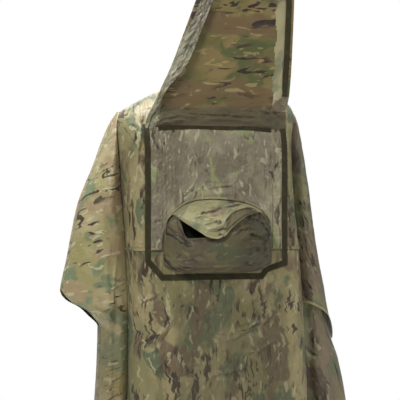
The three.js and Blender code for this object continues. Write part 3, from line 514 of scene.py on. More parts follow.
LOWER_CREASES = [
    (-222, -440, -206, -500, 5, 4, 3), (-212, -520, -214, -760, 4, 6, 3),
    (-196, -560, -172, -640, 8, 4, 2.4),
    (-206, -584, -130, -560, 5, 3, -2.2), (-212, -700, -150, -676, 6, 4, 3.2),
    (-206, -712, -144, -690, 6, 3, -3),
    (-150, -676, -118, -604, -5, 4, 3), (-20, -664, 34, -680, -6, 3.5, -3.4),
    (34, -680, 92, -652, -5, 3.5, 3),
    (60, -668, 120, -634, -4, 3, -2.6), (96, -540, 112, -650, 4, 3, -2.2),
    (152, -500, 160, -760, 5, 7, 2.6),
    (180, -540, 186, -980, 6, 9, 3), (-100, -620, -112, -900, 8, 9, 2.6), (-66, -560, -70, -700, 5, 6, 1.8),
    (-30, -740, -52, -1080, -8, 9, 2.4), (10, -560, 4, -660, 3, 4, 1.6), (60, -760, 70, -1080, 6, 8, -2.4),
    (120, -700, 132, -1080, 6, 9, 2.8), (214, -520, 224, -900, -6, 6, 2),
    (-176, -800, -160, -1088, 6, 8, -3),
    (-120, -940, -96, -1088, -5, 8, 2.6), (150, -900, 172, -1088, 5, 9, -2.6),
    (-199, -440, -222, -482, 2, 4, 6), (-221, -470, -233, -560, 2, 5, 7), (-231, -540, -235, -700, 0, 6, 6),
    (-180, -486, -168, -575, 3, 6, -5), (-226, -576, -200, -566, 1, 2.6, -6),
    (-206, -568, -162, -545, -1, 2.6, 5),
    (-212, -684, -178, -662, 0, 2.6, -5), (-182, -668, -128, -612, 3, 2.6, 5),
    (-176, -676, -124, -622, 3, 2.4, -4),
    (90, -516, 97, -575, 1, 2.6, -4), (96, -570, 110, -632, 2, 2.6, -4.5), (102, -560, 116, -628, 2, 3, 3),
    (36, -655, 112, -634, -4, 2.6, -5), (44, -662, 150, -624, -5, 2.8, 4),
    (-30, -670, 10, -682, 2, 2.6, -4),
    (-34, -676, 30, -690, 2, 2.8, 3.6), (-130, -560, -148, -690, -6, 9, 4), (-96, -530, -90, -600, 2, 4, 3),
    (-52, -540, -66, -640, 3, 5, 3.4), (150, -540, 176, -640, 6, 5, 3.4),
    (176, -566, 196, -700, -5, 6, -3.6),
    (128, -516, 140, -560, 3, 3, 3),
]


LOWER_LAPS = [
    (7, 12, [(-206, -440), (-219, -480), (-229, -550), (-233, -640), (-236, -780), (-238, -940)]),
    (5, 8, [(-216, -694), (-180, -668), (-150, -640), (-124, -600)]),
    (4, 6, [(-230, -584), (-206, -567), (-180, -554)]),
    (4, 5, [(-34, -674), (4, -684), (40, -676), (70, -660)]),
    (4, 6, [(40, -672), (90, -652), (124, -636), (156, -612)]),
    (4, 5, [(36, -656), (80, -650), (118, -630)]),
    (4, 6, [(116, -650), (106, -600), (98, -560), (94, -514)]),
    (6, 6, [(-206, -760), (-170, -742), (-140, -712), (-120, -670)]),
    (7, 7, [(-60, -800), (-20, -770), (40, -764), (96, -740)]),
    (6, 5, [(60, -720), (120, -706), (170, -680)]), (5, 5, [(160, -520), (172, -580), (168, -650)]),
    (7, 7, [(-150, -880), (-110, -850), (-80, -800)]), (8, 7, [(40, -920), (100, -880), (160, -860)]),
]


def lower_surface(x, z):
    wild = 1 - under_frame(x, z)
    fine = 2.2 * crumple(x, z, 34, 1.7, 2.4, 8) + 1.1 * crumple(x, z, 14, 5.9, 1.8, -14) + laps(LOWER_LAPS,
                                                                                                x, z)
    tucked = 3.0 * smooth((z + 444) / 8)
    return wild * (creases(LOWER_CREASES, x, z) + fine) - tucked


lower_grid = panel_grid("back", 72, 18,
                        lambda top: mix(YOKE_HEM + 16, HEM, np.linspace(0, 1, 210)[:, None]) + 0 * top,
                        lower_surface)
lower = sheet_piece("lower_back_cloth", lower_grid, body_print, start=(0, -0.62))
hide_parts("back_lower")
lower_hem = hem("lower_back_hem", lower_grid[-5:], body_print, start=(0, -1.3))
lower_stitches = stitches("lower_back_stitches",
                          [(lower_grid[-5] + outwards(lower_grid)[-5], outwards(lower_grid)[-5])])

FRONT_CREASES = [
    (-150, -120, -70, -210, 8, 7, 3), (150, -120, 80, -200, -8, 7, 3), (-190, -240, -120, -420, 14, 9, 3),
    (180, -260, 120, -460, -12, 9, 3), (-40, -300, -60, -700, 8, 10, 3), (40, -340, 50, -760, -6, 9, -3),
    (-160, -640, -100, -560, 6, 6, 2.6), (120, -700, 190, -640, -6, 6, 2.6), (0, -800, 10, -1080, 5, 10, 3),
    (-110, -760, -120, -1080, 6, 9, -3), (150, -800, 140, -1080, 5, 9, 3),
    (-30, -140, 30, -150, 5, 6, -2.5),
]


def front_surface(x, z):
    return (creases(FRONT_CREASES, x, z) + 1.1 * crumple(x, z, 38, 6.3, 2.2, -6)
            + 0.5 * crumple(x, z, 14, 2.9, 1.6, 16))


front_grid = panel_grid("front", 40, 12, lambda top: rolled_levels(top, HEM, 26, 170), front_surface)
front = sheet_piece("front_cloth", front_grid, body_print, start=(1.3, 0.4))
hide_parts("front")
front_hem = hem("front_hem", front_grid[-4:], body_print, start=(1.3, -0.9))


# Sleeves and sides
# Shoulder, half sleeve and side are one piece behind and one in front, felled together along the outer line.
# The left sleeve is closed to a cuff slit. The right one ends in a slanting hem, the body's side inside it.
FOLD_GAP = 0.9
CUFF_TOP, CUFF_BOTTOM, CUFF_OPEN = -541, -647, 46
ARM_TURN = 0.42
ARM_FOLDS = {
    False: [(-286, -470, -296, -1060, 14, 9), (-268, -560, -266, -1060, 11, -8),
            (-268, -600, -342, -570, 12, 6),
            (-250, -628, -318, -596, 11, -6), (-262, -240, -330, -300, 20, 4),
            (-256, -330, -352, -452, 24, -5),
            (-276, -130, -286, -400, 14, 4)],
    True: [(288, -180, 300, -560, 14, 6), (262, -360, 312, -520, 16, -6), (292, -540, 352, -640, 16, 5),
           (320, -720, 352, -1060, 24, 12), (370, -760, 398, -1060, 18, -10),
           (300, -640, 306, -1000, 16, -8)],
}
ARM_CREASES = {
    False: [(-262, -420, -276, -640, 6, 4, 2.4), (-300, -500, -262, -590, -6, 4, -2.2),
            (-386, -545, -300, -600, 8, 4, 2.6),
            (-350, -560, -276, -618, 8, 3.5, 2.4), (-330, -560, -262, -600, 6, 3, -2),
            (-292, -600, -260, -640, 4, 3, 2.4),
            (-286, -620, -270, -700, 4, 4, 2.8), (-318, -380, -276, -430, 5, 5, 1.8),
            (-300, -180, -276, -300, 5, 7, 1.8),
            (-256, -110, -280, -150, 4, 4, 2.2), (-262, -660, -256, -860, 4, 5, 2.4),
            (-288, -700, -292, -1000, -4, 6, 2.6)],
    True: [(268, -100, 292, -240, -5, 6, 2.2), (250, -250, 276, -420, 5, 5, -2),
           (296, -300, 330, -480, 8, 8, 2.4),
           (276, -560, 300, -690, 4, 5, 2.6), (330, -580, 376, -660, 6, 4, 2),
           (300, -700, 340, -860, 8, 7, 3),
           (360, -700, 402, -840, 6, 6, 2.4), (286, -660, 296, -1060, 4, 6, -2.6)],
}
SLEEVE_HEM = table("t z", (0, -588), (0.3, -596), (0.5, -610), (0.68, -634), (0.82, -662), (0.92, -684),
                   (1, -703))
# Painted shade in the left sleeve's print: it darkens low down, from about the cuff to the hem.
sleeve_print = printed("left_sleeve_print", (rgb(172, 160, 120), rgb(150, 142, 94), rgb(112, 126, 94),
                                             rgb(158, 138, 104), rgb(54, 46, 36), rgb(198, 190, 154)),
                       turn=76, shift=(4.1, 2.2), gloss=0.46, painted_glints=0.06, marks=0.595,
                       painted_shade=(-0.34, -0.46, rgb(98, 82, 52), 0.42, -5, 5))
# Painted shade: the right sleeve and side share one darker copy of the sleeve print, for the side away from
# the light.
shaded_right_print = printed("right_sleeve_shaded_print", (rgb(122, 108, 86), rgb(128, 124, 90), rgb(104, 110, 80),
                                             rgb(86, 74, 62), rgb(56, 46, 38), rgb(164, 160, 130)),
                      turn=-12, shift=(8.3, 6.1), gloss=0.5, painted_glints=0.12, marks=0.6)
# Painted highlight: rolled hem edges take this lighter print, as if lit along their roll. It also colours the
# lighter facing strip beside the flap's tape.
hem_print = printed("sleeve_hem_print",
                    (rgb(158, 150, 114), rgb(140, 134, 98), rgb(120, 124, 92), rgb(112, 98, 78),
                                         rgb(70, 60, 46), rgb(180, 174, 140)), turn=20, shift=(2.3, 5.1),
                    marks=0.66)


def side_roll(right, z):
    """Part of its full depth that an arm has at level z, just under the shoulder."""
    top = SIDE[right]["z"][-1]
    return np.sqrt(1 - (1 - np.clip((top - z) / (top - ROLL_END), 0, 1)) ** 2)


def side_points(face, right, t, z, gap, seed=0.0):
    """Arm or side at level z: t goes from the valley (0) over the arm to the outer edge (1)."""
    side, sign = SIDE[right], -1 if face == "back" else 1
    valley = along(side, "valley", z) + FOLD_GAP
    edge = along(side, "edge", z)
    arm = along(side, "arm", z) * (1 if face == "back" else 0.9)
    arm_x = mix(valley, edge, ARM_TURN)
    a = np.clip((t - ARM_TURN) / (1 - ARM_TURN), 0, 1) * math.pi / 2
    near = t < ARM_TURN
    x = np.where(near, mix(valley, arm_x, t / ARM_TURN), arm_x + (edge - arm_x) * np.sin(a))
    y_near = mix(sign * VALLEY_Y[face], sign * arm,
                 np.sin(np.clip(t / ARM_TURN, 0, 1) * math.pi / 2) ** 0.85)
    y = np.where(near, y_near, mix(sign * arm, EDGE_Y, 1 - np.cos(a)))
    apart = gap * (1 - np.cos(a))
    roll = side_roll(right, z)
    y = RIDGE_Y + (y - RIDGE_Y) * roll + sign * apart
    x = x * (1 if right else -1)
    bulge = np.sin(math.pi * np.clip(t, 0, 1)) ** 0.7
    rows = ARM_CREASES[right] if face == "back" else [(x0, z0 - 26, x1, z1 + 18, -bow, w * 1.2, out)
                                                      for x0, z0, x1, z1, bow, w, out in ARM_CREASES[right]]
    small = (1.5 * creases(rows, x, z) + 1.7 * crumple(x, z, 30, 4.4 + seed, 2.0, 10)
             + 0.9 * crumple(x, z, 13, 8.2 + seed, 1.5, -25))
    y = y + sign * (folds(ARM_FOLDS[right], x, z) + small) * bulge * roll
    return np.stack(np.broadcast_arrays(x, y, z), axis=-1)


def cuff_gap(z):
    t = np.clip((CUFF_TOP - z) / (CUFF_TOP - CUFF_BOTTOM), 0, 1)
    return CUFF_OPEN * np.sin(math.pi * t) ** 0.7


def sleeve_hem(t):
    return along(SLEEVE_HEM, "z", t)


for face, columns in (("back", 56), ("front", 40)):
    t = np.linspace(0, 1, columns + 1)[None, :]
    t = t[:, ::-1] if face == "back" else t
    z = rolled_levels(SIDE[False]["z"][-1] + 0 * t, HEM, 24, 210 if face == "back" else 160)
    grid = side_points(face, False, t, z, cuff_gap(z))
    piece = sheet_piece(f"left_side_{face}_cloth", grid, sleeve_print,
                        start=(0.7 if face == "back" else 2.1, 0.2))
    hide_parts(f"left_side_{face}")
    added = [hem(f"left_side_{face}_hem", grid[-3:], sleeve_print)]
    outer = grid[1:-1, :5] if face == "back" else grid[1:-1, -5:]
    if face == "back":
        added.append(hem("left_outer_seam", outer, sleeve_print, start=(0.7, 0.2)))
    t = np.linspace(0, 1, columns + 1)[None, :]
    t = t if face == "back" else t[:, ::-1]
    z = rolled_levels(SIDE[True]["z"][-1] + 0 * t, sleeve_hem(t), 24, 130)
    grid = side_points(face, True, t, z, 0, 3.0)
    piece = sheet_piece(f"right_sleeve_{face}_cloth", grid, shaded_right_print,
                        start=(0.4 if face == "back" else 1.9, 0))
    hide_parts(f"right_sleeve_{face}")
    added = [hem(f"right_sleeve_{face}_hem", grid[-3:], hem_print, 1.6)]
    if face == "back":
        added.append(hem("right_outer_seam", grid[1:-3, -5:], shaded_right_print, start=(0.4, 0)))
        added.append(stitches("sleeve_hem_stitches",
                              [(grid[-4] + outwards(grid)[-4] * 0.2, outwards(grid)[-4])]))

CUFF_STEP = {"back": 20, "front": 48}
CUFF_STEP_EDGE = 9


def right_side_grid(columns, rows):
    u = np.linspace(0, 1, 2 * columns + 1)[None, :]
    v = np.linspace(0, 1, rows + 1)[:, None]
    parts = []
    for face, t in (("back", 2 * u[:, : columns + 1]), ("front", 2 - 2 * u[:, columns:])):
        start = sleeve_hem(t) + 52 * smooth((t - 0.22) / 0.3) - 0.9
        z = mix(start, HEM, v**1.15)
        p = side_points(face, True, t, z, 0, 3.0)
        inset = (mix(CUFF_STEP[face], CUFF_STEP_EDGE, smooth((t - 0.5) / 0.5)) * smooth(t / 0.22)
                 * mix(1, 0.3, smooth((-700 - z) / 180)))
        inward = np.stack([300 - p[..., 0], EDGE_Y - p[..., 1], 0 * z], axis=-1)
        inward /= np.linalg.norm(inward, axis=-1, keepdims=True)
        parts.append(p + inward * inset[..., None])
    return np.concatenate([parts[0], parts[1][:, 1:]], axis=1)


side_grid = right_side_grid(42, 100)
piece = sheet_piece("right_side_cloth", side_grid, shaded_right_print, start=(3.3, 1.2))
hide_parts("right_side")
hem("right_side_hem", side_grid[-3:], shaded_right_print)


# Frame of hook-and-loop tape
# Stiff dark olive tape, stitched in a U round the inner panel, with its lower corners cut off.
TAPE_WIDTH, TAPE_THICK, TAPE_LIFT = 16, 1.5, 0.5


def back_depth(x, z):
    """Depth of the plain back at x, z."""
    out = []
    for right in (False, True):
        side, ax = SIDE[right], np.abs(x)
        corner, valley = along(side, "corner", z), along(side, "valley", z)
        a = np.arcsin(np.clip((ax - corner) / (valley - corner), 0, 1))
        out.append(panel_points("back", right, np.minimum(1, ax / corner), a, z)[..., 1])
    return np.where(x > 0, out[1], out[0])


def on_back(x, z, d):
    """Points on the back at x, z, moved out by d along its normal."""
    x, z, d = np.broadcast_arrays(x, z, d)
    x, z = x.astype(float), z.astype(float)
    n = np.stack([(back_depth(x + 1, z) - back_depth(x - 1, z)) / 2, -np.ones_like(x),
                  (back_depth(x, z + 1) - back_depth(x, z - 1)) / 2], axis=-1)
    n /= np.linalg.norm(n, axis=-1, keepdims=True)
    return np.stack([x, back_depth(x, z), z], axis=-1) + n * d[..., None]


def hook_tape(name, colour, fuzz):
    """Woven tape with a dull pile of loops."""
    look = bpy.data.materials.new(name)
    look.use_nodes = True
    tree = look.node_tree
    shader = tree.nodes["Principled BSDF"]
    flat = add(tree, "ShaderNodeUVMap", uv_map="cloth").outputs[0]
    loops = add(tree, "ShaderNodeTexNoise", {"Vector": flat, "Scale": 520.0, "Detail": 3.0}).outputs[0]
    worn = blotches(tree, flat, 0.03, 3.0)
    light = tuple(min(1, c * 1.7) for c in colour[:3]) + (1,)
    deep = tuple(c * 0.6 for c in colour[:3]) + (1,)
    base = blend_in(tree, above(tree, loops, 0.52, 0.12), deep, colour)
    base = blend_in(tree, times(tree, above(tree, worn, 0.56, 0.1), 0.4), base, light)
    tree.links.new(base, shader.inputs["Base Color"])
    bump = add(tree, "ShaderNodeBump", {"Strength": fuzz, "Distance": 0.0008, "Height": loops})
    tree.links.new(bump.outputs[0], shader.inputs["Normal"])
    shader.inputs["Roughness"].default_value = 0.92
    shader.inputs["Specular IOR Level"].default_value = 0.2
    shader.inputs["Sheen Weight"].default_value = 0.15
    return look


tape_look = hook_tape("hook_tape", rgb(58, 54, 34), 0.8)


def spaced(path, step):
    """Points along straight x, z stretches, about a step apart, with each corner kept."""
    made = [path[0]]
    for a, b in zip(path, path[1:]):
        count = max(1, round(math.dist(a, b) / step))
        made += [(mix(a[0], b[0], k / count), mix(a[1], b[1], k / count)) for k in range(1, count + 1)]
    return np.array(made, float)


def across_of(path):
    """Sideways direction at each point of a path, mitred at the corners. It points to the path's left."""
    step = np.diff(path, axis=0)
    step /= np.linalg.norm(step, axis=1, keepdims=True)
    into, out = np.concatenate([step[:1], step]), np.concatenate([step, step[-1:]])
    side = np.stack([-(into + out)[:, 1], (into + out)[:, 0]], axis=1)
    return side / (side[:, :1] * -into[:, 1:] + side[:, 1:] * into[:, :1])


def tape_grid(path, width, lift, columns=8):
    """A tape on the back: its edges are a little rounded and pressed down."""
    side = across_of(path)
    off = np.linspace(0.5, -0.5, columns + 1)
    rise = -0.5 * np.abs(2 * off) ** 8
    sway = np.array([1.4 * noise.noise((a / 70, b / 70, 0.5)) for a, b in path])[:, None]
    x = path[:, 0, None] + side[:, 0, None] * (off * width + sway)
    z = path[:, 1, None] + side[:, 1, None] * (off * width + sway)
    return on_back(x, z, lift + rise[None, :])


FRAME_PATH = [(-200, -101.5), (-200, -464), (-160, -508), (119, -508), (133, -491), (188, -474),
              (188, -101.5)]
frame_path = spaced(FRAME_PATH, 5)
frame_grid = tape_grid(frame_path[::-1], TAPE_WIDTH, TAPE_LIFT + TAPE_THICK)[::-1]
piece = sheet_piece("frame_tape_cloth", frame_grid, tape_look, TAPE_THICK)
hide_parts("frame_tape")
face_out = outwards(frame_grid)
tape_rows = [(frame_grid[:, k] + face_out[:, k] * 0.1, face_out[:, k]) for k in (1, -2)]
stitches("tape_stitches", tape_rows, 4.5)


# Inner panel with its binding
# A thin, much crumpled layer inside the tape. Its lower edge is a hemmed arch, where the hood comes out.
ARCH = table("x z", (-157, -394), (-152, -386), (-149, -362), (-140, -346), (-116, -323), (-89, -308),
             (-60, -301),
             (-15, -299), (30, -303), (75, -311), (110, -326), (128, -341), (142, -361), (148, -385),
             (154, -394))
PANEL_FOLDS = [
    (-104, -170, -88, -262, 7, 3.5), (-124, -140, -106, -230, 9, 2.5), (-20, -150, 6, -240, 16, 3),
    (62, -160, 74, -270, 12, 3), (112, -140, 128, -300, 9, 3), (20, -274, 96, -262, 9, 2.5),
    (-70, -286, 66, -284, 8, 3),
]
PANEL_CREASES = [
    (-98, -128, -62, -212, 4, 2.2, 2.4), (-44, -150, -62, -212, -3, 2, 2),
    (-62, -212, -66, -262, 2, 2.2, 2.2),
    (-128, -118, -122, -300, 4, 3, 2.2), (-140, -130, -143, -330, -4, 3, 2),
    (-110, -240, -72, -292, 6, 2.5, 1.8),
    (-76, -284, -4, -262, 5, 2, 1.4), (-30, -236, -74, -286, -4, 2.2, 1.6), (26, -130, 10, -214, 6, 4, 1.6),
    (48, -216, 88, -300, -5, 3, 2.2), (88, -210, 74, -290, 4, 3, 2), (98, -150, 116, -268, -5, 3, 2.2),
    (132, -120, 126, -330, 4, 3, 2.2), (140, -180, 146, -366, 3, 2.5, 1.8),
    (60, -128, 120, -146, 4, 3, 1.4),
    (-115, -164, -90, -201, 1, 2, 3.2), (-92, -200, -84, -246, 1, 2, 3), (-78, -188, -90, -212, 0, 2, 3),
    (144, -150, 120, -276, -5, 2.6, 2.6), (152, -124, 157, -280, 2, 2.4, 3),
    (-158, -124, -159, -330, 2, 2.6, -3),
    (-176, -130, -170, -240, 3, 3, 3), (-184, -200, -178, -330, -2, 3, 3), (168, -130, 166, -250, 2, 3, 3),
    (170, -240, 172, -400, -2, 3, 2.6), (-188, -360, -160, -356, 1, 2, -3),
    (-188, -352, -160, -350, 1, 2, 2.4),
    (-186, -380, -166, -420, 3, 3, 3), (60, -238, 100, -282, 4, 2.6, 3), (-60, -252, 40, -256, 3, 2, -1.6),
    (-52, -262, 60, -262, 2, 2, 1.8), (90, -262, 118, -306, 3, 3, -3),
]
inner_print = printed("inner_panel_print", (rgb(150, 142, 114), rgb(120, 112, 92), rgb(136, 140, 98),
                                            rgb(112, 102, 82), rgb(60, 50, 42), rgb(194, 188, 154)),
                      shift=(2.6, 9.4), gloss=0.42, painted_glints=0.08, marks=0.6, crinkle=0.35, flecks=0.45)


PANEL_LAPS = [
    (3, 3.6, [(-120, -156), (-104, -178), (-92, -204), (-87, -250)]),
    (2.6, 3.2, [(-74, -182), (-86, -206), (-92, -226)]),
    (3, 3, [(-160, -180), (-158, -240), (-154, -320)]),
    (3, 3, [(-142, -126), (-146, -200), (-141, -260), (-144, -330)]),
    (3.4, 3, [(-60, -280), (-20, -268), (30, -262), (60, -240)]),
    (3, 3, [(-112, -300), (-80, -270), (-58, -232)]),
    (3, 3, [(60, -150), (70, -196), (60, -238)]),
    (3, 3, [(110, -140), (104, -190), (118, -240), (110, -290)]),
    (3, 3.4, [(146, -130), (150, -190), (144, -250), (152, -330)]),
    (3, 3.4, [(166, -150), (170, -220), (165, -300)]),
    (3, 3, [(-186, -150), (-178, -210), (-184, -270)]), (3, 3, [(-20, -130), (-30, -170), (-16, -214)]),
    (3, 3.4, [(-190, -366), (-176, -352), (-162, -356)]), (3, 2.6, [(20, -180), (40, -214), (36, -256)]),
]


def binding_level(x):
    return -107.5 - 5 * np.abs((x + 8) / 160) ** 3


PANEL_LOW = table("x z", (-191.4, -433), (-166, -434), (-161, -431), (-158.6, -398), (-152, -386),
                  (-149, -362),
                  (-140, -346), (-116, -323), (-89, -308), (-60, -301), (-15, -299), (30, -303), (75, -311),
                  (110, -326), (128, -341), (142, -361), (146, -385), (150, -398), (153, -430), (158, -435),
                  (179.4, -433))


def inner_panel_grid(columns, rows):
    x = np.linspace(-191.4, 179.4, columns + 1)[None, :]
    v = np.linspace(0, 1, rows + 1)[:, None]
    top, low = binding_level(x) - 4, along(PANEL_LOW, "z", x)
    z = mix(top, low, v)
    inside = smooth((150 - np.abs(x)) / 14)
    flat_edge = smooth((x + 191.4) / 7) * smooth((179.4 - x) / 7)
    lift = smooth(1 - (z - low) / 34) * 4.4 * inside
    rough = smooth((z - low) / 14) * smooth((top - z) / 10)
    wrinkle = (folds(PANEL_FOLDS, x, z) + 1.2 * creases(PANEL_CREASES, x, z) + laps(PANEL_LAPS, x,
                                                                                    z)) * rough
    at_side = smooth((np.abs(x + 5) - 128) / 24)
    fine = ((1.3 + 1.2 * at_side) * crumple(x, z, 24, 7.7, 1.8, 10)
            + (0.8 + 0.9 * at_side) * crumple(x, z, 10, 1.3, 1.5, -12)) * (0.25 + 0.75 * rough)
    return on_back(x + 0 * z, z, np.maximum(0.95, mix(0.95, 3.0 + lift + wrinkle + fine, flat_edge)))


panel_points_out = inner_panel_grid(150, 126)
panel_flat = panel_points_out[..., [0, 2]] * MM
piece = sheet_piece("inner_panel_cloth", panel_points_out, inner_print, 0.8, places=panel_flat)
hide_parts("inner_panel")
arch_columns = slice(np.searchsorted(panel_points_out[0, :, 0], -150),
                     np.searchsorted(panel_points_out[0, :, 0], 147))
arch_hem = hem("arch_hem", panel_points_out[-4:, arch_columns], hem_print, 1.8, start=(0.4, 0))
tab_hem = hem("tab_hem", panel_points_out[-3:, :9], hem_print, 0.9)
out = outwards(panel_points_out)
panel_rows = [(panel_points_out[-4, arch_columns] + out[-4, arch_columns] * 0.3, out[-4, arch_columns])]
stitches("arch_stitches", panel_rows)

BINDING = rgb(53, 47, 27)
binding_look = hook_tape("binding_look", BINDING, 0.4)
x = np.linspace(-168, 151, 81)
binding_path = np.stack([x, binding_level(x)], axis=1)
binding_grid = tape_grid(binding_path, 13, 4.4).transpose(1, 0, 2)
piece = sheet_piece("panel_binding_cloth", binding_grid, binding_look, 2.0)
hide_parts("panel_binding")
out = outwards(binding_grid)
binding_rows = [(binding_grid[k] + out[k] * 0.1, out[k]) for k in (1, -2)]
stitches("binding_stitches", binding_rows)


# Hood pouch
# The rolled hood lies in a pouch that swells out under the arch: a smooth bag with a seam down its middle,
# and the hood's peaked brim turned over its mouth.
BRIM_LIP = table("x z out", (-134, -338, 9), (-119, -354, 30), (-96, -372, 47), (-76, -386, 57),
                 (-56, -399, 63),
                 (-33, -404, 66), (-11, -397, 66), (8, -379, 64), (34, -358, 60), (62, -342, 54),
                 (88, -335, 42),
                 (112, -338, 22))
BAG_RIM = table("x z out", (-157, -398, 3), (-150, -368, 6), (-140, -351, 9), (-130, -344, 13),
                (-122, -351, 18),
                (-117, -366, 26), (-111, -392, 34), (-102, -403, 40), (-62, -401, 46), (-20, -392, 52),
                (0, -378, 54), (34, -350, 52), (62, -334, 45),
                (88, -326, 34), (112, -332, 15), (128, -348, 8), (140, -366, 5), (148, -398, 3))
BAG_LEFT, BAG_RIGHT, BAG_BOTTOM, BELLY = -158, 148, -497, 62
BAG_FOLDS = [
    (56, -362, 118, -404, 9, 6), (62, -404, 104, -428, 8, 6), (70, -432, 128, -440, 8, -6),
    (-150, -452, -60, -462, 8, -4), (-150, -478, 60, -482, 6, 4), (112, -380, 124, -474, 7, 5),
]
BAG_CREASES = [
    (-25, -404, -26, -492, 0, 2, -2), (64, -372, 96, -392, 3, 3, 4), (70, -392, 100, -410, 4, 3, -4),
    (58, -398, 90, -424, 3, 3, 3), (86, -404, 116, -400, -4, 3, 3.4), (96, -372, 116, -440, -4, 3, 3),
    (108, -366, 132, -452, -5, 3, 2.6), (124, -390, 140, -478, -3, 2.6, 2.4),
    (-150, -460, -80, -468, 3, 3, 2),
    (34, -352, 100, -352, -10, 5, 7), (40, -366, 96, -376, -6, 4, -7), (30, -374, 112, -392, -8, 4, 6),
    (52, -384, 118, -410, 6, 4, -7), (40, -400, 108, -424, 5, 4.5, 6), (98, -350, 128, -412, -5, 4, -6),
    (104, -344, 136, -420, -5, 4, 5), (20, -410, 96, -446, 4, 4, -4), (84, -420, 132, -450, 4, 4, 5),
    (-134, -362, -124, -424, 2, 4, 5), (-122, -384, -108, -446, 3, 4, -4),
    (-150, -400, -140, -470, 2, 4, 4),
    (-104, -408, -60, -412, 2, 4, 3), (-152, -440, -118, -452, 3, 3, -4), (-60, -478, 100, -474, 3, 3, 3),
    (-120, -484, 80, -482, 2, 2.6, -3),
    (-152, -470, -60, -476, 3, 2.5, -2), (-150, -486, 90, -488, 2, 2.5, 2), (20, -486, 120, -470, 4, 3, 2),
    (-140, -420, -120, -450, 4, 4, 2),
]
# Painted shade in the pouch's print: its right part darkens, on the side away from the light.
bag_print = printed("hood_bag_print", (rgb(102, 94, 64), rgb(88, 82, 54), rgb(76, 80, 54), rgb(84, 72, 54),
                                       rgb(32, 25, 20), rgb(132, 124, 90)), turn=84, shift=(5.5, 3.8),
                    gloss=0.56,
                    painted_glints=0.04, marks=0.58, flecks=0.4, painted_shade=(-1, -0.9, rgb(54, 48, 32), 0.45, 0.05, 5))
brim_print = printed("brim_print",
                     (rgb(150, 148, 108), rgb(162, 156, 114), rgb(118, 126, 96), rgb(146, 126, 98),
                                    rgb(78, 68, 52), rgb(196, 190, 150)), turn=72, shift=(7.1, 1.4),
                     gloss=0.42,
                     painted_glints=0.12, marks=0.6, crinkle=0.4, flecks=0.5)
BAG_LAPS = [
    (6, 8, [(44, -352), (82, -350), (110, -362), (128, -388), (134, -432)]),
    (5, 8, [(14, -398), (36, -380), (66, -370), (98, -382)]),
    (5, 7, [(28, -412), (62, -400), (90, -408), (110, -432)]),
    (5, 6, [(54, -430), (84, -424), (112, -444)]),
    (5, 7, [(100, -392), (116, -412), (118, -446), (128, -470)]),
    (4, 5, [(70, -392), (92, -398), (104, -414)]),
    (5, 6, [(-128, -352), (-134, -388), (-138, -430)]), (4, 5, [(-114, -404), (-124, -436), (-140, -462)]),
    (4, 5, [(-152, -458), (-120, -462), (-92, -458)]),
    (4, 5, [(-148, -474), (-70, -480), (20, -480), (90, -476), (122, -466)]),
]
BRIM_RIDGE = [(-70, -384), (-42, -375), (-18, -366), (-7, -351), (6, -339), (22, -330), (42, -324),
              (60, -322), (78, -327),
              (98, -340)]
BRIM_LAPS = [
    (7, 10, BRIM_RIDGE), (5, 6, [(-4, -384), (12, -362), (34, -346), (58, -338), (88, -340)]),
    (5, 5, [(-96, -350), (-70, -344), (-44, -350), (-26, -346)]),
    (5, 5, [(-104, -336), (-76, -328), (-50, -334)]),
    (4, 4, [(-84, -322), (-60, -318), (-36, -326)]), (4, 4, [(2, -318), (20, -312), (44, -318)]),
    (4, 5, [(-70, -366), (-50, -362), (-28, -354)]), (3.4, 4, [(-18, -306), (-15, -330), (-19, -358)]),
]


def bag_grid(columns, rows):
    s = np.linspace(-1, 1, columns + 1)[None, :]
    v = np.linspace(0, 1, rows + 1)[:, None]
    across = mix(np.sin(s * math.pi / 2), s, 0.45)
    x = (BAG_LEFT + BAG_RIGHT) / 2 + (BAG_RIGHT - BAG_LEFT) / 2 * across
    rim = np.minimum(along(BAG_RIM, "z", x), along(ARCH, "z", x) - 1)
    rim_out = along(BAG_RIM, "out", x)
    low = BAG_BOTTOM + 24 * np.abs(across) ** 6
    w = np.sin(v * math.pi / 2)
    z = mix(rim, low, w)
    round_off = np.clip(1 - np.abs(across) ** 4, 0, 1) ** 0.55
    belly = BELLY * round_off * np.sqrt(np.clip(1 - w**3.4, 0, 1))
    bunched = smooth((x - 24) / 40) * smooth((z + 462) / 40)
    creased = (folds(BAG_FOLDS, x, z) + 0.6 * creases(BAG_CREASES, x, z) + laps(BAG_LAPS, x, z)
               + 1.2 * crumple(x, z, 24, 2.2, 0.6, 0) + 3 * bunched * crumple(x, z, 20, 6.1, 0.7, 35))
    out = mix(np.minimum(rim_out, 60), belly,
              smooth(w / 0.45)) + creased * smooth(w / 0.1) * round_off * smooth(
        (1 - w) / 0.12)
    at = on_back(x + 0 * z, z, 0)
    at[..., 1] -= 2.95 + np.maximum(0, out)
    return at


def from_edge(points, widen, upwards):
    """Flat places of a bulging piece: across by its width, and down along each column from its level edge."""
    steps = np.linalg.norm(np.diff(points, axis=0), axis=2)
    steps = steps[::-1] if upwards else steps
    down = np.concatenate([np.zeros((1, points.shape[1])), np.cumsum(steps, axis=0)])
    down = down[::-1] if upwards else -down
    return np.stack([points[..., 0] * widen, down], axis=-1) * MM


bag_points = bag_grid(132, 84)
piece = sheet_piece("hood_bag_cloth", bag_points, bag_print, places=from_edge(bag_points, 1.2, True))
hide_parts("hood_bag")
bag_rim = hem("bag_rim_hem", bag_points[:4, 4:-4], bag_print, 0.9, start=(5.1, 0.3))
out = outwards(bag_points)
seam_column = int(np.argmin(np.abs(bag_points[30, :, 0] + 25)))
seam_rows = [(bag_points[4:-4, seam_column + k] + out[4:-4, seam_column + k] * 0.2,
              out[4:-4, seam_column + k])
             for k in (-1, 1)]
stitches("bag_seam_stitches", seam_rows)

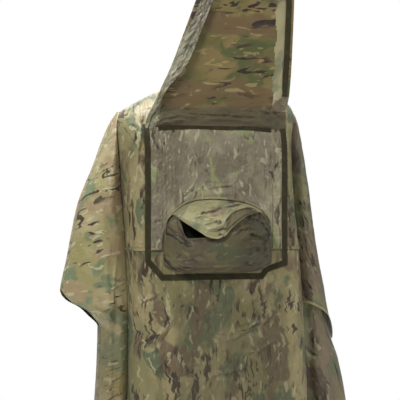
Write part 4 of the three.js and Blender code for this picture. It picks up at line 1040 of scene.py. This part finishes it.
BRIM_CREASES = [
    (-66, -378, -10, -364, 3, 3, 4), (-10, -364, 20, -342, 5, 3.5, 6), (14, -346, 60, -326, 6, 3.5, 6),
    (56, -326, 92, -334, 4, 3, 4), (-60, -386, -14, -376, 2, 3, -4), (-8, -376, 20, -356, 4, 3, -4),
    (-17, -304, -17, -372, 0, 1.6, 2), (-100, -330, -64, -344, 3, 3, 2), (-96, -352, -58, -352, -3, 3, -2),
    (-70, -316, -30, -350, 4, 3, 1.6), (40, -312, 24, -340, 3, 3, -2), (70, -318, 56, -334, 3, 2.5, 1.6),
    (-50, -330, -20, -360, 5, 3, 2), (30, -350, 80, -336, -3, 2.5, -3),
    (-66, -377, -16, -366, 2, 3, 6), (-20, -368, 2, -350, 2, 3, 7), (-4, -354, 24, -330, 2, 3.5, 7),
    (18, -334, 60, -322, 4, 3.5, 7), (54, -322, 96, -336, 5, 3.5, 7), (-60, -384, -10, -374, 2, 2.6, -6),
    (-12, -376, 14, -346, 3, 3, -7), (12, -346, 60, -332, 4, 3, -7), (-92, -334, -30, -338, -3, 2.6, 3.4),
    (-84, -344, -34, -348, -3, 2.6, -3), (-100, -322, -50, -322, 2, 2.6, -2.6),
    (-86, -356, -40, -358, 2, 2.6, 3),
    (0, -312, -4, -344, 2, 2.6, 3), (20, -308, 44, -322, 2, 2.6, 2.6), (-30, -310, -28, -340, 1, 2.4, -2.4),
]


def brim_grid(columns, rows):
    x = np.linspace(BRIM_LIP["x"][0], BRIM_LIP["x"][-1], columns + 1)[None, :]
    v = np.linspace(0, 1, rows + 1)[:, None]
    arch = along(ARCH, "z", x) - 0.7
    lip = np.minimum(arch - 4, along(BRIM_LIP, "z", x))
    out = along(BRIM_LIP, "out", x)
    z = mix(arch, lip, v)
    tuck = (out * 0.12 + 2) * smooth((v - 0.72) / 0.28)
    swell = out * 1.12 * np.sin(v * math.pi / 2) ** 0.8 * smooth((v + 0.004) / 0.05) - tuck
    seam = 3 * np.exp(-(((x + 17) / 12) ** 2)) * smooth(v / 0.3)
    creased = (0.4 * creases(BRIM_CREASES, x, z) + laps(BRIM_LAPS, x, z) + 0.9 * crumple(x, z, 16, 3.3, 1.2,
                                                                                         30)
               ) * smooth(v / 0.2)
    at = on_back(x + 0 * z, z, 0)
    at[..., 1] -= 4.4 + swell + seam + creased
    return at


brim_points = brim_grid(110, 60)
piece = sheet_piece("hood_brim_cloth", brim_points, brim_print, places=from_edge(brim_points, 1.1, False))
piece.data.materials.append(bag_print)
ridge_x, ridge_z = np.array(BRIM_RIDGE).T
for face in piece.data.polygons:
    x, y, z = face.center / MM
    if x > -6 and z < np.interp(x, ridge_x, ridge_z) - 3:
        face.material_index = 1
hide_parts("hood_brim")
brim_edge = hem("brim_edge", brim_points[-5:, 1:-1], brim_print, 1.1, start=(3.1, 0.4))
out = outwards(brim_points)
edge_rows = [(brim_points[-5, 3:-3] + out[-5, 3:-3] * 0.3, out[-5, 3:-3])]
stitches("brim_stitches", edge_rows)


# Rear flap
# The long flap that covers the back when it hangs. Here it is lifted straight up, its inner side showing,
# with the left border turned over and hook-and-loop tape down the right one.
FLAP_BASE = -98
FLAP_Y = -162
FLAP_ROWS = table("z left free right", (-98, -203, -196, 199), (-81, -196, -187, 197),
                  (-55, -186, -175, 195),
                  (-14, -170, -158, 198), (48, -141, -106, 203), (128, -110, -70, 206), (300, -47, -6, 210))
FLAP_FOLDS = [
    (-150, -84, 20, -60, 12, 5), (20, -66, 175, -86, 10, 4), (120, -70, 196, 10, 16, 6),
    (-120, -60, 60, 190, 34, -6), (60, 60, 110, 290, 34, 5),
]
FLAP_CREASES = [
    (-164, -92, -96, -70, 6, 3, 2.6), (-140, -96, -60, -88, 3, 2.5, 2.4), (-120, -80, -10, -76, 4, 2.5, 2),
    (-20, -90, 90, -92, 3, 2.5, 2.4), (0, -78, 120, -80, 3, 3, 2), (110, -84, 176, -96, 3, 2.5, 3),
    (120, -66, 168, -94, 5, 3, 3), (128, -52, 180, -70, -5, 3, -3), (150, -30, 186, -80, 6, 3.5, 3),
    (-176, -96, -150, -50, 4, 3, 2), (172, -60, 190, -14, 3, 3, 2.4), (160, 10, 190, -40, -4, 4, 2),
    (-178, -70, -120, -60, 2, 3, -5), (-130, -62, -40, -64, -2, 3, -5), (-50, -66, 60, -68, 2, 3, -5),
    (50, -66, 128, -68, -1, 3, -5), (-150, -88, -60, -80, 2, 3, 5), (-130, -92, -50, -90, 1, 2.4, -4),
    (-40, -84, 70, -84, 2, 3, 4.4), (-20, -91, 80, -92, 1, 2.4, -4), (60, -80, 130, -86, 1, 3, 4),
    (112, -66, 146, -86, 2, 3, 6), (126, -66, 160, -92, 2, 3, -6), (138, -62, 172, -94, 2, 3, 6),
    (150, -52, 182, -84, 2, 3, -5), (160, -40, 194, -66, 2, 3, 5), (164, -22, 196, -40, 2, 3, -4),
]
# Painted shade in the flap's print: a grey-brown band low on the flap, at its sewn base, where it folds back
# against the yoke.
flap_print = printed("flap_inside_print",
                     (rgb(122, 106, 62), rgb(100, 94, 50), rgb(76, 82, 42), rgb(104, 84, 54),
                                           rgb(38, 27, 20), rgb(150, 134, 88)), turn=86, shift=(1.7, 6.6),
                     gloss=0.6,
                     painted_glints=0.0, marks=0.585, painted_shade=(0.735, 0.715, rgb(86, 79, 58), 0.9, -5, 5))
# The turned border shows the cloth's outer face, lighter than the flap's inside; part of that lightness and
# its many pale specks are painted highlight where it faces the light.
border_print = printed("flap_border_print", (rgb(122, 118, 92), rgb(106, 102, 74), rgb(94, 96, 70),
                                             rgb(92, 84, 66), rgb(62, 56, 42), rgb(166, 162, 138)),
                       turn=-20, shift=(6.2, 0.8), gloss=0.4, painted_glints=0.55, marks=0.6, crinkle=0.8)


FLAP_LAPS = [
    (5, 7, [(-190, -98), (-160, -84), (-120, -78), (-60, -80)]),
    (4, 6, [(-176, -94), (-140, -90), (-90, -88)]),
    (5, 7, [(-120, -74), (-60, -70), (10, -72), (70, -76), (120, -76)]),
    (4, 6, [(-60, -88), (0, -84), (60, -86), (110, -90)]),
    (5, 7, [(96, -62), (124, -72), (150, -92)]), (5, 7, [(116, -56), (144, -66), (172, -90)]),
    (5, 7, [(134, -44), (160, -58), (184, -80)]), (5, 6, [(148, -26), (170, -40), (192, -60)]),
    (4, 6, [(-184, -86), (-168, -66), (-146, -48)]),
]


def flap_free(z):
    return smooth((z - FLAP_BASE) / 90)


def flap_depth(x, z):
    sewn = on_back(np.clip(x, -205, 205), FLAP_BASE + 0 * x, 3.2 + 0 * x)[..., 1]
    return mix(sewn, FLAP_Y - 10 * smooth(z / 300), flap_free(z))


# The flap's sewn edge dips over the binding: the level where that starts, its middle and its reach
# across, its depth, and how far it comes out.
DIP_START, DIP_MIDDLE, DIP_REACH, DIP_DEPTH, DIP_OUT = -78, -8, 160, 5, 2.6


def flap_grid(border, turn, main, rows):
    z = np.linspace(300, FLAP_BASE, rows + 1)[:, None]
    left, free = along(FLAP_ROWS, "left", z), along(FLAP_ROWS, "free", z)
    right, grow = along(FLAP_ROWS, "right", z), flap_free(z)
    radius, lean = mix(1.6, 4, grow), mix(3, 13, grow)
    s = np.linspace(0, 1, main + 1)[None, :]
    x = np.concatenate([mix(left + radius, right - 40, s), right - np.arange(36, -1, -4)[None, :]], axis=1)
    s = (x - left - radius) / (right - left - radius)
    fade = smooth((1 - s) / 0.06) * smooth(s / 0.08) * smooth((z - FLAP_BASE) / 6)
    rolled = 5 * smooth((-64 - z) / 10) * smooth((z + 100) / 12)
    creased = (folds(FLAP_FOLDS, x, z) + 0.5 * creases(FLAP_CREASES, x, z) + laps(FLAP_LAPS, x, z)
               + 1.4 * crumple(x, z, 40, 5.1, 1.4, 70)
               + rolled + 1.3 * smooth((-40 - z) / 30) * crumple(x, z, 15, 2.7, 0.35, 0))
    face = np.stack(np.broadcast_arrays(x, flap_depth(x, z) - creased * fade, z), axis=-1)
    y0 = flap_depth(left + radius, z)
    a = np.linspace(0, math.pi, turn + 1)[None, 1:]
    fold = np.stack(np.broadcast_arrays(left + radius - radius * np.sin(a), y0 - radius * (1 - np.cos(a)),
                                        z), axis=-1)
    s = np.linspace(0, 1, border + 1)[None, 1:]
    x = mix(left + radius, free, s)
    wave = 1.6 * crumple(x + 0 * z, z + 0 * x, 11, 6.6, 4, -26)
    wave = (wave + 0.8 * crumple(x + 0 * z, z + 0 * x, 6, 3.6, 3, -40)) * smooth(s / 0.2)
    turned = np.stack(np.broadcast_arrays(x, y0 - 2 * radius - lean * s - wave, z), axis=-1)
    grid = np.concatenate([turned[:, ::-1], fold[:, ::-1], face], axis=1)
    low = smooth((DIP_START - grid[..., 2]) / 20)
    across = np.minimum(np.abs(grid[..., 0] - DIP_MIDDLE) / DIP_REACH, 1.25)
    grid[..., 2] -= low * (DIP_DEPTH + DIP_DEPTH * across ** 3)
    grid[..., 1] -= low * DIP_OUT
    return grid, border + turn // 2


flap_points, border_columns = flap_grid(20, 12, 84, 150)
piece = sheet_piece("rear_flap_cloth", flap_points, flap_print, start=(0.3, 1.1))
piece.data.materials.append(border_print)
columns = flap_points.shape[1] - 1
corner_x = np.empty(len(piece.data.uv_layers["cloth"].data) * 2)
piece.data.uv_layers["cloth"].data.foreach_get("uv", corner_x)
edge_x = flat_places(flap_points)[:, border_columns, 0].mean() + 0.3
for face in piece.data.polygons:
    if corner_x[2 * face.loop_start] < edge_x:
        face.material_index = 1
piece.data.materials.append(hem_print)
for face in piece.data.polygons:
    x, y, z = face.center / MM
    inner = -50 + 7 * noise.noise((z / 26, 0.5, 0.5))
    outer = -24 if z > -22 else 0
    in_strip = inner < x - along(FLAP_ROWS, "right", z) < outer
    if z > -62 and in_strip and y < flap_depth(np.array(x), np.array(z)) + 9:
        face.material_index = 2
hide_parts("rear_flap")

z = np.linspace(300, -21, 82)[:, None]
x = along(FLAP_ROWS, "right", z) - 24 + np.linspace(0, 16, 9)[None, :]
face_z, face_x, face_y = (flap_points[:, -11:, k] for k in (2, 0, 1))
tape_y = np.stack([np.interp(row, face_x[k], face_y[k]) for row, k in
                   zip(x, np.clip(np.round(np.interp(-z[:, 0], -face_z[:, 0], np.arange(len(face_z)))), 0,
                                  len(face_z) - 1).astype(int))])
tape_y = tape_y - 0.5 - TAPE_THICK
piece = sheet_piece("flap_tape_cloth", np.stack(np.broadcast_arrays(x, tape_y, z), axis=-1), tape_look,
                    TAPE_THICK)
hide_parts("flap_tape")


# Floor, light and camera
# A plain pale floor and soft studio light from above on the left. The camera stands behind the poncho.
bpy.ops.object.select_all(action="DESELECT")
bpy.ops.mesh.primitive_circle_add(vertices=96, radius=3.2, fill_type="NGON", location=(0, 0, -1.45))
floor = bpy.context.active_object
floor.name = "floor"
floor_look = bpy.data.materials.new("floor_look")
floor_look.use_nodes = True
floor_look.node_tree.nodes["Principled BSDF"].inputs["Base Color"].default_value = rgb(236, 235, 232)
floor_look.node_tree.nodes["Principled BSDF"].inputs["Roughness"].default_value = 0.8
floor.data.materials.append(floor_look)

world = bpy.data.worlds.new("studio")
bpy.context.scene.world = world
world.use_nodes = True
tree = world.node_tree
room = tree.nodes["Background"]
room.inputs[0].default_value = (1, 1, 1, 1)
seen = add(tree, "ShaderNodeLightPath").outputs["Is Camera Ray"]
tree.links.new(add(tree, "ShaderNodeMapRange", {0: seen, 3: 0.26, 4: 1.0}).outputs[0], room.inputs[1])

for name, place, size, power in (("key", (-1.8, -2.0, 1.5), 0.7, 58), ("fill", (2.2, -1.7, 0.9), 1.4, 20),
                                 ("top", (-0.3, 0.4, 1.9), 1.2, 70),
                                 ("front_fill", (0.8, 3.2, 0.8), 2.4, 60)):
    light = bpy.data.lights.new(name, "AREA")
    light.size = size
    light.energy = power
    lamp = bpy.data.objects.new(name, light)
    bpy.context.scene.collection.objects.link(lamp)
    lamp.location = place
    aim = np.array([0, 0, -0.3]) - np.array(place)
    lamp.rotation_euler = (math.acos(-aim[2] / np.linalg.norm(aim)), 0,
                           math.atan2(aim[1], aim[0]) - math.pi / 2)

camera = bpy.data.objects.new("camera", bpy.data.cameras.new("camera"))
bpy.context.scene.collection.objects.link(camera)
camera.data.lens = 115.7
camera.data.sensor_width = 36
camera.location = (-1.11779, -3.42207, -0.302)
camera.rotation_euler = (math.radians(90), 0, math.radians(-18))
bpy.context.scene.camera = camera
bpy.context.scene.view_settings.view_transform = "Standard"
